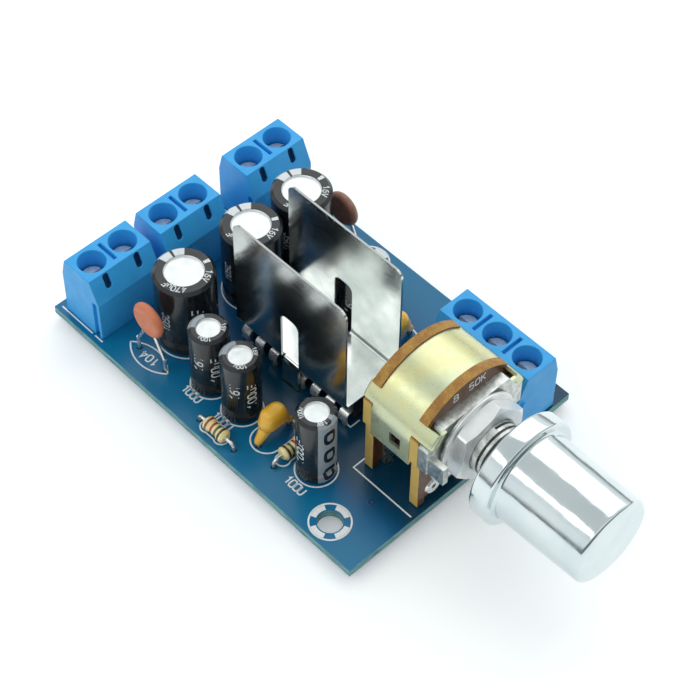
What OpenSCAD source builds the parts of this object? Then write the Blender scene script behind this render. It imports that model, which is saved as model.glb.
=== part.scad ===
// Audio amplifier board: a power chip under a folded heat sink, screw terminals along the rear and
// one side, and a two-gang volume control with a turned knob at the front edge.
// The sub-parts are drawn from the board's top face, with the board's centre at X 0, Y 0.

/* [Board] */
// Width of the board, side to side
board_w = 38; // [37.5:0.5:50]
// Length of the board, front edge to rear edge
board_l = 55; // [54:0.5:75]
// Thickness of the board
board_t = 1.2; // [1:0.1:2.4]
// Diameter of a mounting hole
hole_d = 3.2; // [2.6:0.1:3.6]
// Mounting hole's centre to the side edge
hole_side = 3.1; // [2.6:0.1:4]
// Front mounting hole's centre to the front edge
hole_front = 6.6; // [4:0.1:8]
// Rear mounting hole's centre to the rear edge
hole_rear = 22.3; // [21:0.1:24]
// Room around a lead in its drilled hole
lead_room = 0.15; // [0.1:0.05:0.3]
// Height of a solder joint under the board
solder_h = 1.2; // [0.8:0.1:2]
// Radius of a solder joint at the board
solder_r = 0.85; // [0.7:0.05:0.95]

/* [Terminal housings] */
// Distance between two wire entries
pitch = 5; // [4.9:0.1:5.4]
// Height of a housing
block_h = 10; // [9.8:0.1:13]
// Depth of a housing at its foot
block_d = 7.1; // [6.8:0.1:8]
// Depth of the flat top
block_top_d = 4.9; // [4.4:0.1:5.4]
// Inset of the flat top from the wire face
block_top_in = 0.7; // [0.5:0.1:1]
// Height at which the wire face starts to lean in
face_h = 7.2; // [6.5:0.1:8]
// Height at which the inner face starts to lean in
back_h = 6.5; // [6.2:0.1:8]
// Diameter of a screw well
well_d = 3.7; // [3.6:0.1:4.1]
// Width of a wire entry
entry_w = 3.4; // [2.8:0.1:3.8]
// Height of a wire entry
entry_h = 3.4; // [2.6:0.1:3.8]
// Depth of the marker groove between two wells
marker_h = 0.8; // [0.4:0.1:1.2]
// Width of the marker groove
marker_w = 0.5; // [0.3:0.1:0.8]
// Length of the marker groove
marker_l = 3.3; // [2:0.1:4]
// Width of the oval test pocket in the inner slope
slit_w = 0.9; // [0.6:0.1:1.2]
// Length of the oval test pocket
slit_l = 2.2; // [1.6:0.1:2.6]
// Depth of the oval test pocket
slit_h = 0.9; // [0.4:0.1:1.2]
// Stand-out of the joining rail on a housing's end
rail_out = 0.4; // [0.2:0.1:0.6]
// Wire face of the rear housings to the rear edge
rear_setback = 1.4; // [0:0.1:3]
// Wire face of the side housing to the side edge
side_setback = 2.7; // [2.3:0.1:2.9]
// End of the side housing to the front edge
side_end = 0.25; // [0:0.05:2]

/* [Terminal clamps] */
// Width of a clamp frame
frame_w = 4; // [3.8:0.1:4.2]
// Depth of a clamp frame
frame_d = 4.4; // [4:0.1:4.6]
// Height of a clamp frame
frame_h = 5.7; // [5.4:0.1:5.8]
// Sheet thickness of a clamp frame
frame_t = 0.5; // [0.4:0.1:0.6]
// Thickness of the frame's threaded top
frame_top = 1; // [0.8:0.1:1.4]
// Thickness of the wire guard under a screw
guard_t = 0.4; // [0.3:0.1:0.6]
// Thread diameter of a terminal screw
screw_d = 2.5; // [2.2:0.1:2.6]
// Head diameter of a terminal screw
head_d = 3.3; // [3:0.1:3.4]
// Head height of a terminal screw
head_h = 1.2; // [1:0.1:1.3]
// Driver slot width in a screw's head
drive_w = 0.6; // [0.4:0.1:0.8]
// Diameter of a terminal's solder pin
pin_d = 1; // [0.8:0.1:1.2]

/* [Power chip] */
// Length of the chip's body
chip_l = 19.6; // [18.6:0.1:20]
// Width of the chip's body
chip_w = 6.4; // [6:0.1:6.8]
// Height of the chip's body
chip_h = 3.5; // [3:0.1:4]
// Gap between the chip and the board
chip_gap = 0.7; // [0.4:0.1:1]
// Distance between two pins in a row
pin_pitch = 2.54; // [2.5:0.01:2.58]
// Distance between the two rows of pins
row_w = 7.62; // [7.2:0.02:7.8]
// Width of a pin where it passes the board
pin_w = 0.46; // [0.4:0.01:0.5]
// Width of a pin's shoulder
shoulder_w = 1.4; // [1.2:0.1:1.6]
// Thickness of a pin
pin_t = 0.25; // [0.2:0.01:0.3]

/* [Heat sink] */
// Overhang of the heat sink past each end of the chip
sink_over = 0; // [0:0.05:0.5]
// Width over the two fins
sink_w = 9.3; // [9.1:0.1:10]
// Height from the chip's top to the fins' top
sink_h = 18.5; // [15:0.5:25]
// Thickness of the sheet
sheet_t = 0.3; // [0.2:0.05:0.6]
// Inside radius of the folds
bend_r = 0.4; // [0.2:0.1:0.8]
// Corner radius of the fins
fin_corner = 1.3; // [0.5:0.1:3]
// Width of the window that each leg is lanced from
window_w = 3.1; // [2.6:0.1:3.6]
// Height of the window above the chip's top
window_h = 8.7; // [6:0.1:11]
// Heat sink to the large capacitors behind it
sink_gap = 1.2; // [0.5:0.1:1.5]

/* [Capacitors] */
// Diameter of a large can
large_d = 7.7; // [7:0.1:8.2]
// Height of a large capacitor
large_h = 12.2; // [10:0.1:16]
// Lead spacing of a large capacitor
large_pitch = 3.5; // [3:0.1:4]
// Large capacitors to the rear housings
large_gap = 2.65; // [1:0.05:3]
// Diameter of a small can
small_d = 4.8; // [4:0.1:5.2]
// Height of a small capacitor
small_h = 10.8; // [9:0.1:12]
// Height of the front small capacitor, which is of a taller make
front_can_h = 11.5; // [9:0.1:13]
// Lead spacing of a small capacitor
small_pitch = 2; // [1.9:0.1:2.5]
// Thickness of the sleeve on a can
sleeve_t = 0.15; // [0.1:0.05:0.2]
// Width of the sleeve's fold over a small can's rim
fold_w = 0.8; // [0.5:0.1:1.2]
// Width of the sleeve's fold over a large can's rim
large_fold_w = 1.25; // [0.5:0.05:2]
// Side gap between neighbouring cans
can_gap = 0.65; // [0.3:0.05:1]
// Diameter of a disc capacitor
disc_d = 5.1; // [4.6:0.1:6.4]
// Thickness of a disc capacitor
disc_t = 1.3; // [1:0.1:2.4]
// Height of the left disc's centre above the board
disc_z = 7.8; // [6:0.1:9]
// Height of the right disc's centre above the board
disc_z_right = 5.9; // [5.4:0.1:9]
// Width of a dipped capacitor
dip_w = 4.3; // [4:0.1:5.2]
// Thickness of a dipped capacitor
dip_t = 2.6; // [2:0.1:3]
// Height of a dipped capacitor's top above the board
dip_top = 5.5; // [5:0.1:7]
// Lead spacing of the disc and dipped capacitors
lead_pitch = 5.08; // [4.8:0.02:5.4]
// Diameter of a component's lead
lead_d = 0.5; // [0.4:0.05:0.6]

/* [Layout] */
// Middle of the chip, left or right of the board's centre
chip_x = -0.85; // [-1:0.05:0]
// Left large can's centre to the left edge
large_left = 9.7; // [9:0.1:10.2]
// Middle large can's centre, left or right of the board's centre
large_mid = 1.8; // [1.6:0.1:2]
// Side resistor's axis to the left edge
res_edge = 1.7; // [1.4:0.1:2]
// Side resistor to the small cans
res_gap = 1.45; // [1:0.05:2]
// Right-hand small cans to the heat sink
right_gap = 1; // [0.5:0.1:1.2]
// Rear small cans behind the chip's middle
small_back = 7.1; // [6.6:0.1:7.4]
// Front small can ahead of the chip's middle
small_ahead = 11.55; // [11.4:0.05:12.2]
// Front small can, right of the other two
small_shift = 0.5; // [0:0.05:0.6]
// Dipped capacitors ahead of the chip's middle
dip_ahead = 4.2; // [4:0.05:5]
// Left dipped capacitor, right of the small cans
dip_shift = 0.2; // [0:0.1:0.6]
// Right dipped capacitor, right of the small cans
dip_out = 1.4; // [0.8:0.1:1.6]
// Front resistor ahead of the chip's middle
res_ahead = 7.75; // [7.6:0.05:8.2]
// Side resistor behind the chip's middle
res_back = 0.6; // [0:0.1:1]
// Left disc to the large can beside it
disc_gap = 1.4; // [0.5:0.1:1.6]
// Right disc to the large can beside it
disc_gap_right = 1; // [0.3:0.05:1.2]
// Right disc ahead of the large cans
disc_ahead = 1.8; // [0.5:0.1:2]
// Gap between a seated can and the board
can_lift = 0.2; // [0.1:0.1:0.6]
// Gap under the front small can
front_can_lift = 0.3; // [0.2:0.1:1.2]
// End of the left housing to the left edge
left_end = 1; // [0.5:0.1:1.5]
// Gap between the left and the middle housing
block_gap = 1.7; // [1.2:0.1:2.4]
// End of the right housing to the right edge
right_end = 0.7; // [0.5:0.1:1.2]

/* [Resistors] */
// Length of a resistor's body
res_l = 3.6; // [3:0.1:4.2]
// Diameter of a resistor's ends
res_d = 1.9; // [1.5:0.1:2]
// Lead spacing of a resistor
res_pitch = 6.35; // [6.2:0.05:6.6]

/* [Volume control] */
// Centre of the control, left or right of the board's centre
pot_x = 0.4; // [0:0.1:0.6]
// Height of the shaft's axis above the board
axis_h = 10.5; // [10:0.1:14]
// Radius of the wafers' round top
wafer_r = 8.4; // [8.2:0.1:8.6]
// Thickness of a wafer
wafer_t = 1.4; // [1:0.1:1.8]
// Space between the two wafers
gang_gap = 6.3; // [6:0.1:7.4]
// Width over the cover's sides
cover_w = 16; // [15.6:0.1:16.4]
// Sheet thickness of the cover
cover_t = 0.4; // [0.3:0.05:0.5]
// Depth of the cover's sides below the shaft's axis
cover_drop = 2.2; // [1:0.1:3]
// Thickness of the front plate
plate_t = 1.5; // [1.2:0.1:2]
// Stand-out of the front plate past the board's front edge
plate_out = 0.7; // [0:0.1:1.5]
// Stand-out of the locating lug on the front plate
stop_l = 2.6; // [1:0.1:4]
// Diameter of the threaded bush
bush_d = 7; // [6.8:0.1:7.4]
// Length of the threaded bush
bush_l = 5.8; // [4:0.1:8]
// Diameter of the shaft
shaft_d = 6; // [5.4:0.1:6]
// Running clearance around the shaft
run_gap = 0.03; // [0.02:0.01:0.08]
// Spacing of the control's terminals
term_pitch = 5; // [4.6:0.1:5.2]
// Diameter of the washer
washer_d = 11.4; // [9.6:0.1:12]
// Thickness of the washer
washer_t = 0.7; // [0.4:0.1:1]
// Width of the nut across its flats
nut_w = 10; // [9:0.5:11]
// Thickness of the nut
nut_t = 2.1; // [1.5:0.1:2.5]

/* [Knob] */
// Diameter of the knob's rear flange
flange_d = 14.8; // [12:0.1:18]
// Thickness of the rear flange
flange_t = 2.7; // [1.5:0.1:4]
// Diameter of the knob's barrel
barrel_d = 11.8; // [9:0.1:11.8]
// Length of the knob
knob_l = 15.5; // [14:0.1:22]
// Chamfer of the knob's front rim
knob_edge = 0.5; // [0.2:0.1:0.8]
// Depth of the shaft's hole in the knob
knob_bore = 12; // [8:0.1:12.5]

/* [Hidden] */
$fn = 48;
eps = 0.01;
slip = 0.1;

// Edges of the board
rear_y = board_l / 2;
front_y = -board_l / 2;
right_x = board_w / 2;

// Mounting holes, one near the front left corner and one on the right
mount_holes = [[hole_side - right_x, front_y + hole_front], [right_x - hole_side, rear_y - hole_rear]];

// Terminal housings: number of ways, place of the wire face's middle, and turn about Z
rear_face_y = rear_y - rear_setback;
side_face_x = right_x - side_setback;
left_x = left_end + pitch - right_x;
middle_x = left_x + 2 * pitch + block_gap;
rear_right_x = right_x - right_end - pitch;
blocks = [
    [2, [left_x, rear_face_y], 0],
    [2, [middle_x, rear_face_y], 0],
    [2, [rear_right_x, rear_face_y], 0],
    [3, [side_face_x, front_y + side_end + 1.5 * pitch], -90]
];
axis_in = block_top_in + block_top_d / 2;
function turn2(p, a) = [p[0] * cos(a) - p[1] * sin(a), p[0] * sin(a) + p[1] * cos(a)];
function way_s(ways, i) = (i - (ways - 1) / 2) * pitch;
ways = [for (b = blocks) for (i = [0:b[0] - 1]) b[1] + turn2([way_s(b[0], i), -axis_in], b[2])];
way_turn = [for (b = blocks) for (i = [0:b[0] - 1]) b[2]];

// Heights inside a terminal
frame_z = 0.3;
frame_floor = frame_z + frame_t;
frame_roof = frame_z + frame_h;
guard_z = frame_floor + 0.3;
guard_top = guard_z + guard_t;
screw_tip = guard_top + 0.05;
head_z = frame_roof + 0.15;
entry_z = frame_floor + 0.2;

// Rows of parts, each placed from the one behind it
large_od = large_d + 2 * sleeve_t;
small_od = small_d + 2 * sleeve_t;
large_y = rear_face_y - block_d - large_gap - large_od / 2;
large_step = large_od + can_gap;
large_at = [[large_left - right_x, large_y], [large_mid, large_y], [large_mid + large_step, large_y]];
sink_l = chip_l + 2 * sink_over;
chip_y = large_y - large_od / 2 - sink_gap - sink_l / 2;
res_x = res_edge - right_x;
small_x = res_x + res_d / 2 + res_gap + small_od / 2;
small_right_x = chip_x + sink_w / 2 + right_gap + small_od / 2;
small_y = chip_y + small_back;
small_step = small_od + can_gap;
small_at = [
    [small_x, small_y],
    [small_x, small_y - small_step],
    [small_x + small_shift, chip_y - small_ahead],
    [small_right_x, small_y],
    [small_right_x, small_y - small_step]
];
small_lift = [can_lift, can_lift, front_can_lift, can_lift, can_lift];
small_tall = [small_h, small_h, front_can_h, small_h, small_h];
large_lift = can_lift;
disc_at = [
    [large_at[0][0] - large_od / 2 - disc_gap - disc_t / 2, large_y],
    [large_at[2][0] + large_od / 2 + disc_gap_right + disc_t / 2, large_y - disc_ahead]
];
disc_high = [disc_z, disc_z_right];
dip_at = [[small_x + dip_shift, chip_y - dip_ahead], [small_right_x + dip_out, chip_y - dip_ahead]];
res_at = [[res_x, chip_y + res_back, 90], [small_x + dip_shift / 2, chip_y - res_ahead, 0]];

// Levels of the chip and the heat sink
chip_top = chip_gap + chip_h;
pin_z = chip_gap + chip_h / 2;
pins_per_row = 1 + floor((chip_l - shoulder_w) / pin_pitch);
function pin_y(i) = chip_y + (i - (pins_per_row - 1) / 2) * pin_pitch;
leg_w = window_w - 0.3;
leg_x = sink_w / 2 - sheet_t / 2;

// Stations of the volume control along Y, from the board's front edge
plate_y = front_y - plate_out;
front_wafer_y = plate_y + plate_t;
front_gang_y = front_wafer_y + wafer_t;
rear_gang_y = front_gang_y + gang_gap;
rear_wafer_y = rear_gang_y + wafer_t;
washer_y = plate_y - washer_t;
nut_y = washer_y - nut_t;
bush_y = plate_y - bush_l;
knob_rear_y = bush_y - 0.3;
knob_front_y = knob_rear_y - knob_l;
shaft_front_y = knob_rear_y - knob_bore;
cover_in = cover_w / 2 - cover_t;
ear_low = 3.4;
ear_high = 5.1;
lug_low = -1.3;
lug_half = cover_w / 2 - 0.05;
leg_half = lug_half - 0.5;
leg_foot = 0.2;
plate_r = cover_in - 0.1;
plate_up = 5.2;
plate_down = 5.5;
rivet_z = 2.7;
rivet_d = 1.6;
term_w = 1.6;
term_t = 0.4;
journal_d = 4;
rotor_d = 11.4;
rotor_t = 1.2;
rotor_gap = 0.7;

// Leads that pass the board: centre and hole radius
function pair(p, d, turn) = [p + turn2([d / 2, 0], turn), p - turn2([d / 2, 0], turn)];
large_leads = [for (p = large_at) each pair(p, large_pitch, 0)];
small_leads = [for (p = small_at) each pair(p, small_pitch, 90)];
disc_leads = [for (p = disc_at) each pair(p, lead_pitch, 90)];
dip_leads = [for (p = dip_at) each pair(p, lead_pitch, 0)];
res_leads = [for (r = res_at) each pair([r[0], r[1]], res_pitch, r[2])];
wire_leads = concat(large_leads, small_leads, disc_leads, dip_leads, res_leads);
chip_leads = [for (s = [-1, 1]) for (i = [0:pins_per_row - 1]) [chip_x + s * row_w / 2, pin_y(i)]];
pot_rows = [front_gang_y + term_t / 2, rear_gang_y - term_t / 2];
pot_leads = [for (y = pot_rows) for (i = [-1:1]) [pot_x + i * term_pitch, y]];
leg_leads = [for (s = [-1, 1]) [chip_x + s * leg_x, chip_y]];

// The whole stands on its solder joints, with its footprint centred
stand = [0, -(rear_y + knob_front_y) / 2, board_t + solder_h];

module from_left(w) {
    rotate([90, 0, 90]) linear_extrude(w, center = true) children();
}

module from_front(y0, y1) {
    translate([0, y1, 0]) rotate([90, 0, 0]) linear_extrude(y1 - y0) children();
}

// Board

module circuit_board() {
    leg_slot_t = sheet_t + 2 * lead_room;
    color("steelblue") difference() {
        translate([-board_w / 2, front_y, -board_t]) cube([board_w, board_l, board_t]);
        for (p = mount_holes) drill(p, hole_d / 2);
        for (p = ways) drill(p, pin_d / 2 + lead_room);
        for (p = wire_leads) drill(p, lead_d / 2 + lead_room);
        for (p = chip_leads) drill(p, pin_w / 2 + lead_room);
        for (p = pot_leads) drill(p, 0.5 + lead_room);
        for (p = leg_leads) translate([p[0] - leg_slot_t / 2, p[1] - leg_w / 2 - lead_room, -board_t - 1])
            cube([leg_slot_t, leg_w + 2 * lead_room, board_t + 2]);
    }
}

module drill(p, r) {
    translate([p[0], p[1], -board_t - 1]) cylinder(h = board_t + 2, r = r, $fn = 32);
}

// A cone of solder that ends in the clipped tip of its lead
module solder_joint(p, r) {
    tip_r = 0.3;
    translate([p[0], p[1], -board_t]) rotate_extrude($fn = 24) polygon([
        [0, 0],
        [r, 0],
        [r * 0.92, -solder_h * 0.12],
        [r * 0.6, -solder_h * 0.4],
        [tip_r + 0.08, -solder_h * 0.72],
        [tip_r, -solder_h * 0.95],
        [tip_r - 0.06, -solder_h],
        [0, -solder_h]
    ]);
}

module terminal_solder() {
    color("silver") for (p = ways) solder_joint(p, solder_r + 0.35);
}

module component_solder() {
    leg_joint_r = leg_w / 2 + 0.3;
    color("silver") {
        for (p = concat(wire_leads, chip_leads)) solder_joint(p, solder_r);
        for (p = pot_leads) solder_joint(p, solder_r + 0.3);
        for (p = leg_leads) translate([p[0], p[1], -board_t - solder_h * 0.5]) intersection() {
            translate([-0.5 - sheet_t / 2, -leg_joint_r, 0])
                cube([1 + sheet_t, 2 * leg_joint_r, solder_h * 0.5]);
            cylinder(h = solder_h * 0.5, r1 = leg_joint_r - 0.4, r2 = leg_joint_r);
        }
    }
}

// Terminal blocks, drawn with the wire face on Y 0 and the inside towards minus Y

module at_block(k) {
    b = blocks[k - 1];
    translate([b[1][0], b[1][1], 0]) rotate([0, 0, b[2]]) children();
}

module terminal_housing(k) {
    count = blocks[k - 1][0];
    width = count * pitch;
    rail_u = block_d - 0.9;
    top_mid = -axis_in;
    lean_turn = atan2(block_d - block_top_in - block_top_d, block_h - back_h);
    lean_top = [0, -block_top_in - block_top_d, block_h];
    color("dodgerblue") at_block(k) difference() {
        union() {
            from_left(width) polygon([
                [0, 0],
                [0, face_h],
                [-block_top_in, block_h],
                [-block_top_in - block_top_d, block_h],
                [-block_d, back_h],
                [-block_d, 0]
            ]);
            translate([width / 2, -rail_u - 0.3, 0.6]) cube([rail_out, 0.6, back_h - 1]);
        }
        translate([-width / 2 - eps, -rail_u - 0.4, -eps]) cube([rail_out + 0.1, 0.8, back_h - 0.2]);
        for (i = [0:count - 1]) translate([way_s(count, i), 0, 0]) {
            translate([0, -axis_in, 1]) cylinder(h = block_h, d = well_d);
            translate([-frame_w / 2 - slip, -axis_in - frame_d / 2 - slip, -eps])
                cube([frame_w + 2 * slip, frame_d + 2 * slip, frame_roof + slip]);
            translate([-entry_w / 2, -axis_in, entry_z]) cube([entry_w, axis_in + 1, entry_h]);
            translate(lean_top) rotate([90 - lean_turn, 0, 0]) oval_pocket();
        }
        for (i = [1:count - 1]) translate([way_s(count, i) - pitch / 2, top_mid, block_h])
            cube([marker_w, marker_l, 2 * marker_h], center = true);
    }
}

// Oval pocket just below the top edge of a slope, which lies on the XY plane and falls towards minus Y
module oval_pocket() {
    run = slit_l - slit_w;
    translate([0, -0.2 - slit_w / 2, -slit_h]) {
        for (y = [0, -run]) translate([0, y, 0]) cylinder(h = 2 * slit_h, d = slit_w, $fn = 24);
        translate([-slit_w / 2, -run, 0]) cube([slit_w, run, 2 * slit_h]);
    }
}

// Folded frame with a tapped top and a pin through the board, one in each way
module clamp_frames(k) {
    count = blocks[k - 1][0];
    inner_w = frame_w - 2 * frame_t;
    color("khaki") at_block(k) for (i = [0:count - 1]) translate([way_s(count, i), -axis_in, 0]) {
        difference() {
            translate([-frame_w / 2, -frame_d / 2, frame_z]) cube([frame_w, frame_d, frame_h]);
            translate([-inner_w / 2, -frame_d, frame_floor])
                cube([inner_w, 2 * frame_d, frame_roof - frame_top - frame_floor]);
            translate([0, 0, frame_roof - frame_top - eps])
                cylinder(h = frame_top + 1, d = screw_d + 2 * 0.04);
        }
        translate([0, 0, -board_t]) cylinder(h = board_t + frame_z, d = pin_d);
    }
}

module at_way(k) {
    translate([ways[k - 1][0], ways[k - 1][1], 0]) rotate([0, 0, way_turn[k - 1]]) children();
}

// Guard plate with both ends turned up, so that a wire slides in under it
module wire_guard(k) {
    guard_w = frame_w - 2 * frame_t - 2 * slip;
    guard_d = frame_d - 0.2;
    color("lightsteelblue") at_way(k) {
        translate([-guard_w / 2, -guard_d / 2, guard_z]) cube([guard_w, guard_d, guard_t]);
        for (s = [-1, 1]) translate([-guard_w / 2, s * (guard_d - guard_t) / 2 - guard_t / 2, guard_z])
            cube([guard_w, guard_t, guard_t + 0.4]);
    }
}

module terminal_screw(k) {
    slot_h = head_h * 0.6;
    bevel = 0.2;
    color("gainsboro") at_way(k) difference() {
        rotate_extrude() polygon([
            [0, screw_tip],
            [screw_d / 2 - bevel, screw_tip],
            [screw_d / 2, screw_tip + bevel],
            [screw_d / 2, head_z],
            [head_d / 2, head_z],
            [head_d / 2, head_z + head_h - bevel],
            [head_d / 2 - bevel, head_z + head_h],
            [0, head_z + head_h]
        ]);
        translate([-head_d, -drive_w / 2, head_z + head_h - slot_h]) cube([2 * head_d, drive_w, head_h]);
    }
}

// Power chip and heat sink

// Moulded body with drafted faces and an index notch at its rear end
module chip_body() {
    draft = 0.35;
    color("dimgray") translate([chip_x, chip_y, pin_z]) difference() {
        for (up = [0, 1]) mirror([0, 0, up]) hull() {
            translate([-chip_w / 2, -chip_l / 2, 0]) cube([chip_w, chip_l, eps]);
            translate([draft - chip_w / 2, draft - chip_l / 2, chip_h / 2 - eps])
                cube([chip_w - 2 * draft, chip_l - 2 * draft, eps]);
        }
        translate([0, chip_l / 2 - draft, chip_h / 2 - 0.6]) cylinder(h = 1, r = 1);
    }
}

module chip_pins() {
    inner = chip_w / 2;
    outer = row_w / 2 + pin_t / 2;
    stop_z = 0.55;
    color("silver") for (s = [0, 1]) translate([chip_x, 0, 0]) mirror([s, 0, 0])
        for (i = [0:pins_per_row - 1]) translate([0, pin_y(i), 0]) {
            translate([inner, -shoulder_w / 2, pin_z - pin_t / 2]) cube([outer - inner, shoulder_w, pin_t]);
            translate([outer - pin_t, -shoulder_w / 2, stop_z])
                cube([pin_t, shoulder_w, pin_z + pin_t / 2 - stop_z]);
            translate([outer - pin_t, -pin_w / 2, -board_t]) cube([pin_t, pin_w, board_t + stop_z + eps]);
        }
}

// Section of a channel with round folds: floor on Y 0, sides up to h
module channel(w, h, r) {
    translate([-w / 2, r]) square([w, h - r]);
    translate([r - w / 2, 0]) square([w - 2 * r, h]);
    for (s = [-1, 1]) translate([s * (w / 2 - r), r]) circle(r);
}

module folded_sheet(w, h) {
    difference() {
        channel(w, h, bend_r + sheet_t);
        translate([0, sheet_t]) channel(w - 2 * sheet_t, h, bend_r);
    }
}

// One folded sheet: two fins stand up, and a leg lanced from each fin turns down to the board
module heat_sink() {
    arch_r = 1;
    fin_half = sink_l / 2;
    leg_h = chip_top + sheet_t + board_t;
    color("gainsboro") translate([chip_x, chip_y, chip_top]) {
        difference() {
            intersection() {
                from_front(-fin_half, fin_half) folded_sheet(sink_w, sink_h);
                from_left(2 * sink_w) union() {
                    translate([-fin_half, 0]) square([sink_l, sink_h - fin_corner]);
                    translate([fin_corner - fin_half, 0]) square([sink_l - 2 * fin_corner, sink_h]);
                    for (s = [-1, 1]) translate([s * (fin_half - fin_corner), sink_h - fin_corner])
                        circle(fin_corner);
                }
            }
            for (s = [-1, 1]) translate([s * sink_w / 2, 0, 0]) from_left(2 * (bend_r + sheet_t)) union() {
                translate([-window_w / 2, -1]) square([window_w, window_h - arch_r + 1]);
                translate([arch_r - window_w / 2, -1]) square([window_w - 2 * arch_r, window_h + 1]);
                for (e = [-1, 1]) translate([e * (window_w / 2 - arch_r), window_h - arch_r]) circle(arch_r);
            }
        }
        intersection() {
            from_front(-leg_w / 2, leg_w / 2) translate([0, sheet_t]) mirror([0, 1])
                folded_sheet(sink_w, leg_h);
            union() for (s = [-1, 1]) translate([s * sink_w / 2, 0, -leg_h / 2])
                cube([2 * (bend_r + sheet_t), sink_w, 2 * leg_h], center = true);
        }
    }
}

// Electrolytic capacitors

// Outline of a can from its foot to its rim, with the crimped neck near the foot
function can_side(r, h) = [
    [r - 0.3, 0],
    [r, 0.3],
    [r, 1.3],
    [r - 0.35, 1.8],
    [r, 2.3],
    [r, h - 0.4],
    [r - 0.4, h]
];
bung_h = 1.2;
function bung_r(d) = d / 2 - 0.6;

module can(d, h, fold) {
    top = h - sleeve_t;
    rotate_extrude() polygon(concat(
        [[0, bung_h], [bung_r(d), bung_h], [bung_r(d), sleeve_t]],
        [for (p = can_side(d / 2, top - sleeve_t)) p + [0, sleeve_t]],
        [[d / 2 - fold, top], [d / 2 - fold - 0.15, top - 0.15], [0, top - 0.15]]
    ));
}

module sleeve(d, h, fold) {
    inner = [for (p = can_side(d / 2, h - 2 * sleeve_t)) p + [0, sleeve_t]];
    outer = [for (p = can_side(d / 2 + sleeve_t, h)) p];
    last = len(inner) - 1;
    rotate_extrude() polygon(concat(
        [[bung_r(d) + 0.05, 0]],
        outer,
        [[d / 2 - fold, h], [d / 2 - fold, h - sleeve_t]],
        [for (i = [0:last]) inner[last - i]],
        [[bung_r(d) + 0.05, sleeve_t]]
    ));
}

module large_sleeve(k) {
    color("darkslategray") translate([each large_at[k - 1], large_lift])
        sleeve(large_d, large_h, large_fold_w);
}

module small_sleeve(k) {
    color("darkslategray") translate([each small_at[k - 1], small_lift[k - 1]])
        sleeve(small_d, small_tall[k - 1], fold_w);
}

module large_cans() {
    color("white") for (p = large_at) translate([each p, large_lift]) can(large_d, large_h, large_fold_w);
}

module small_cans() {
    color("white") for (i = [0:4]) translate([each small_at[i], small_lift[i]])
        can(small_d, small_tall[i], fold_w);
}

module bung(d, spacing, turn) {
    difference() {
        cylinder(h = bung_h, r = bung_r(d));
        for (p = pair([0, 0], spacing, turn)) translate([p[0], p[1], -1])
            cylinder(h = bung_h + 2, d = lead_d, $fn = 24);
    }
}

module can_bungs() {
    color("black") {
        for (p = large_at) translate([each p, large_lift]) bung(large_d, large_pitch, 0);
        for (i = [0:4]) translate([each small_at[i], small_lift[i]]) bung(small_d, small_pitch, 90);
    }
}

// Ceramic and film parts

module disc_form(high) {
    steps = 12;
    crown = disc_t / 2;
    translate([0, 0, high]) rotate([0, 90, 0]) rotate_extrude() polygon([
        for (i = [0:2 * steps]) let (a = -90 + 90 * i / steps)
            [max(0, disc_d / 2 - crown + crown * cos(a)) * (abs(a) == 90 ? 0 : 1), crown * sin(a)]
    ]);
}

module disc_capacitor(k) {
    color("chocolate") translate([each disc_at[k - 1], 0]) disc_form(disc_high[k - 1]);
}

// Rounded lens with a coated stub down each lead
module dip_form() {
    r = dip_t / 2;
    stub_top = dip_top - 2.6;
    translate([0, 0, dip_top - r]) hull() {
        for (s = [-1, 1]) translate([s * (dip_w / 2 - r), 0, -0.9]) sphere(r, $fn = 24);
        for (s = [-1, 1]) translate([s * (dip_w / 2 - r) * 0.6, 0, 0]) sphere(r, $fn = 24);
    }
    for (s = [-1, 1]) hull() {
        translate([s * (dip_w / 2 - r), 0, stub_top]) sphere(r * 0.75, $fn = 16);
        translate([s * lead_pitch / 2, 0, 1]) sphere(0.55, $fn = 16);
    }
}

module dipped_capacitor(k) {
    color("goldenrod") translate([each dip_at[k - 1], 0]) difference() {
        dip_form();
        dip_wires();
    }
}

module dip_wires() {
    for (s = [-1, 1]) translate([s * lead_pitch / 2, 0, -board_t])
        cylinder(h = board_t + 1, d = lead_d, $fn = 24);
}

// Up through the board, then leaning in towards the disc
module disc_wires(high) {
    knee_z = 2.2;
    lean = 25;
    reach = high - knee_z - disc_d * 0.2;
    for (s = [0, 1]) mirror([0, s, 0]) translate([0, lead_pitch / 2, 0]) {
        translate([0, 0, -board_t]) cylinder(h = board_t + knee_z, d = lead_d, $fn = 24);
        translate([0, 0, knee_z - 0.3]) rotate([lean, 0, 0])
            cylinder(h = reach, d = lead_d * 0.95, $fn = 24);
    }
}

// Body with swollen ends, lying along X just above the board
res_z = res_d / 2 + 0.15;

module resistor(k) {
    r = res_d / 2;
    waist = r - 0.18;
    cap_l = 0.9;
    half = [[0, res_l / 2], [r - 0.3, res_l / 2], [r, res_l / 2 - 0.3], [r, res_l / 2 - cap_l],
        [waist, res_l / 2 - cap_l - 0.25]];
    color("wheat") translate([res_at[k - 1][0], res_at[k - 1][1], res_z])
        rotate([0, 90, res_at[k - 1][2]]) rotate_extrude()
            polygon(concat(half, [for (i = [0:4]) [half[4 - i][0], -half[4 - i][1]]]));
}

// Straight out of the body's end, round a bend and down through the board
module resistor_wire() {
    bend = 0.7;
    knee_x = res_pitch / 2 - bend;
    translate([res_l / 2, 0, res_z]) rotate([0, 90, 0])
        cylinder(h = knee_x - res_l / 2, d = lead_d, $fn = 24);
    translate([knee_x, 0, res_z - bend]) rotate([90, 0, 0]) rotate_extrude(angle = 90)
        translate([bend, 0]) circle(d = lead_d, $fn = 24);
    translate([res_pitch / 2, 0, -board_t]) cylinder(h = board_t + res_z - bend, d = lead_d, $fn = 24);
}

module straight_wire(p, top) {
    translate([p[0], p[1], -board_t]) cylinder(h = board_t + top, d = lead_d, $fn = 24);
}

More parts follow.
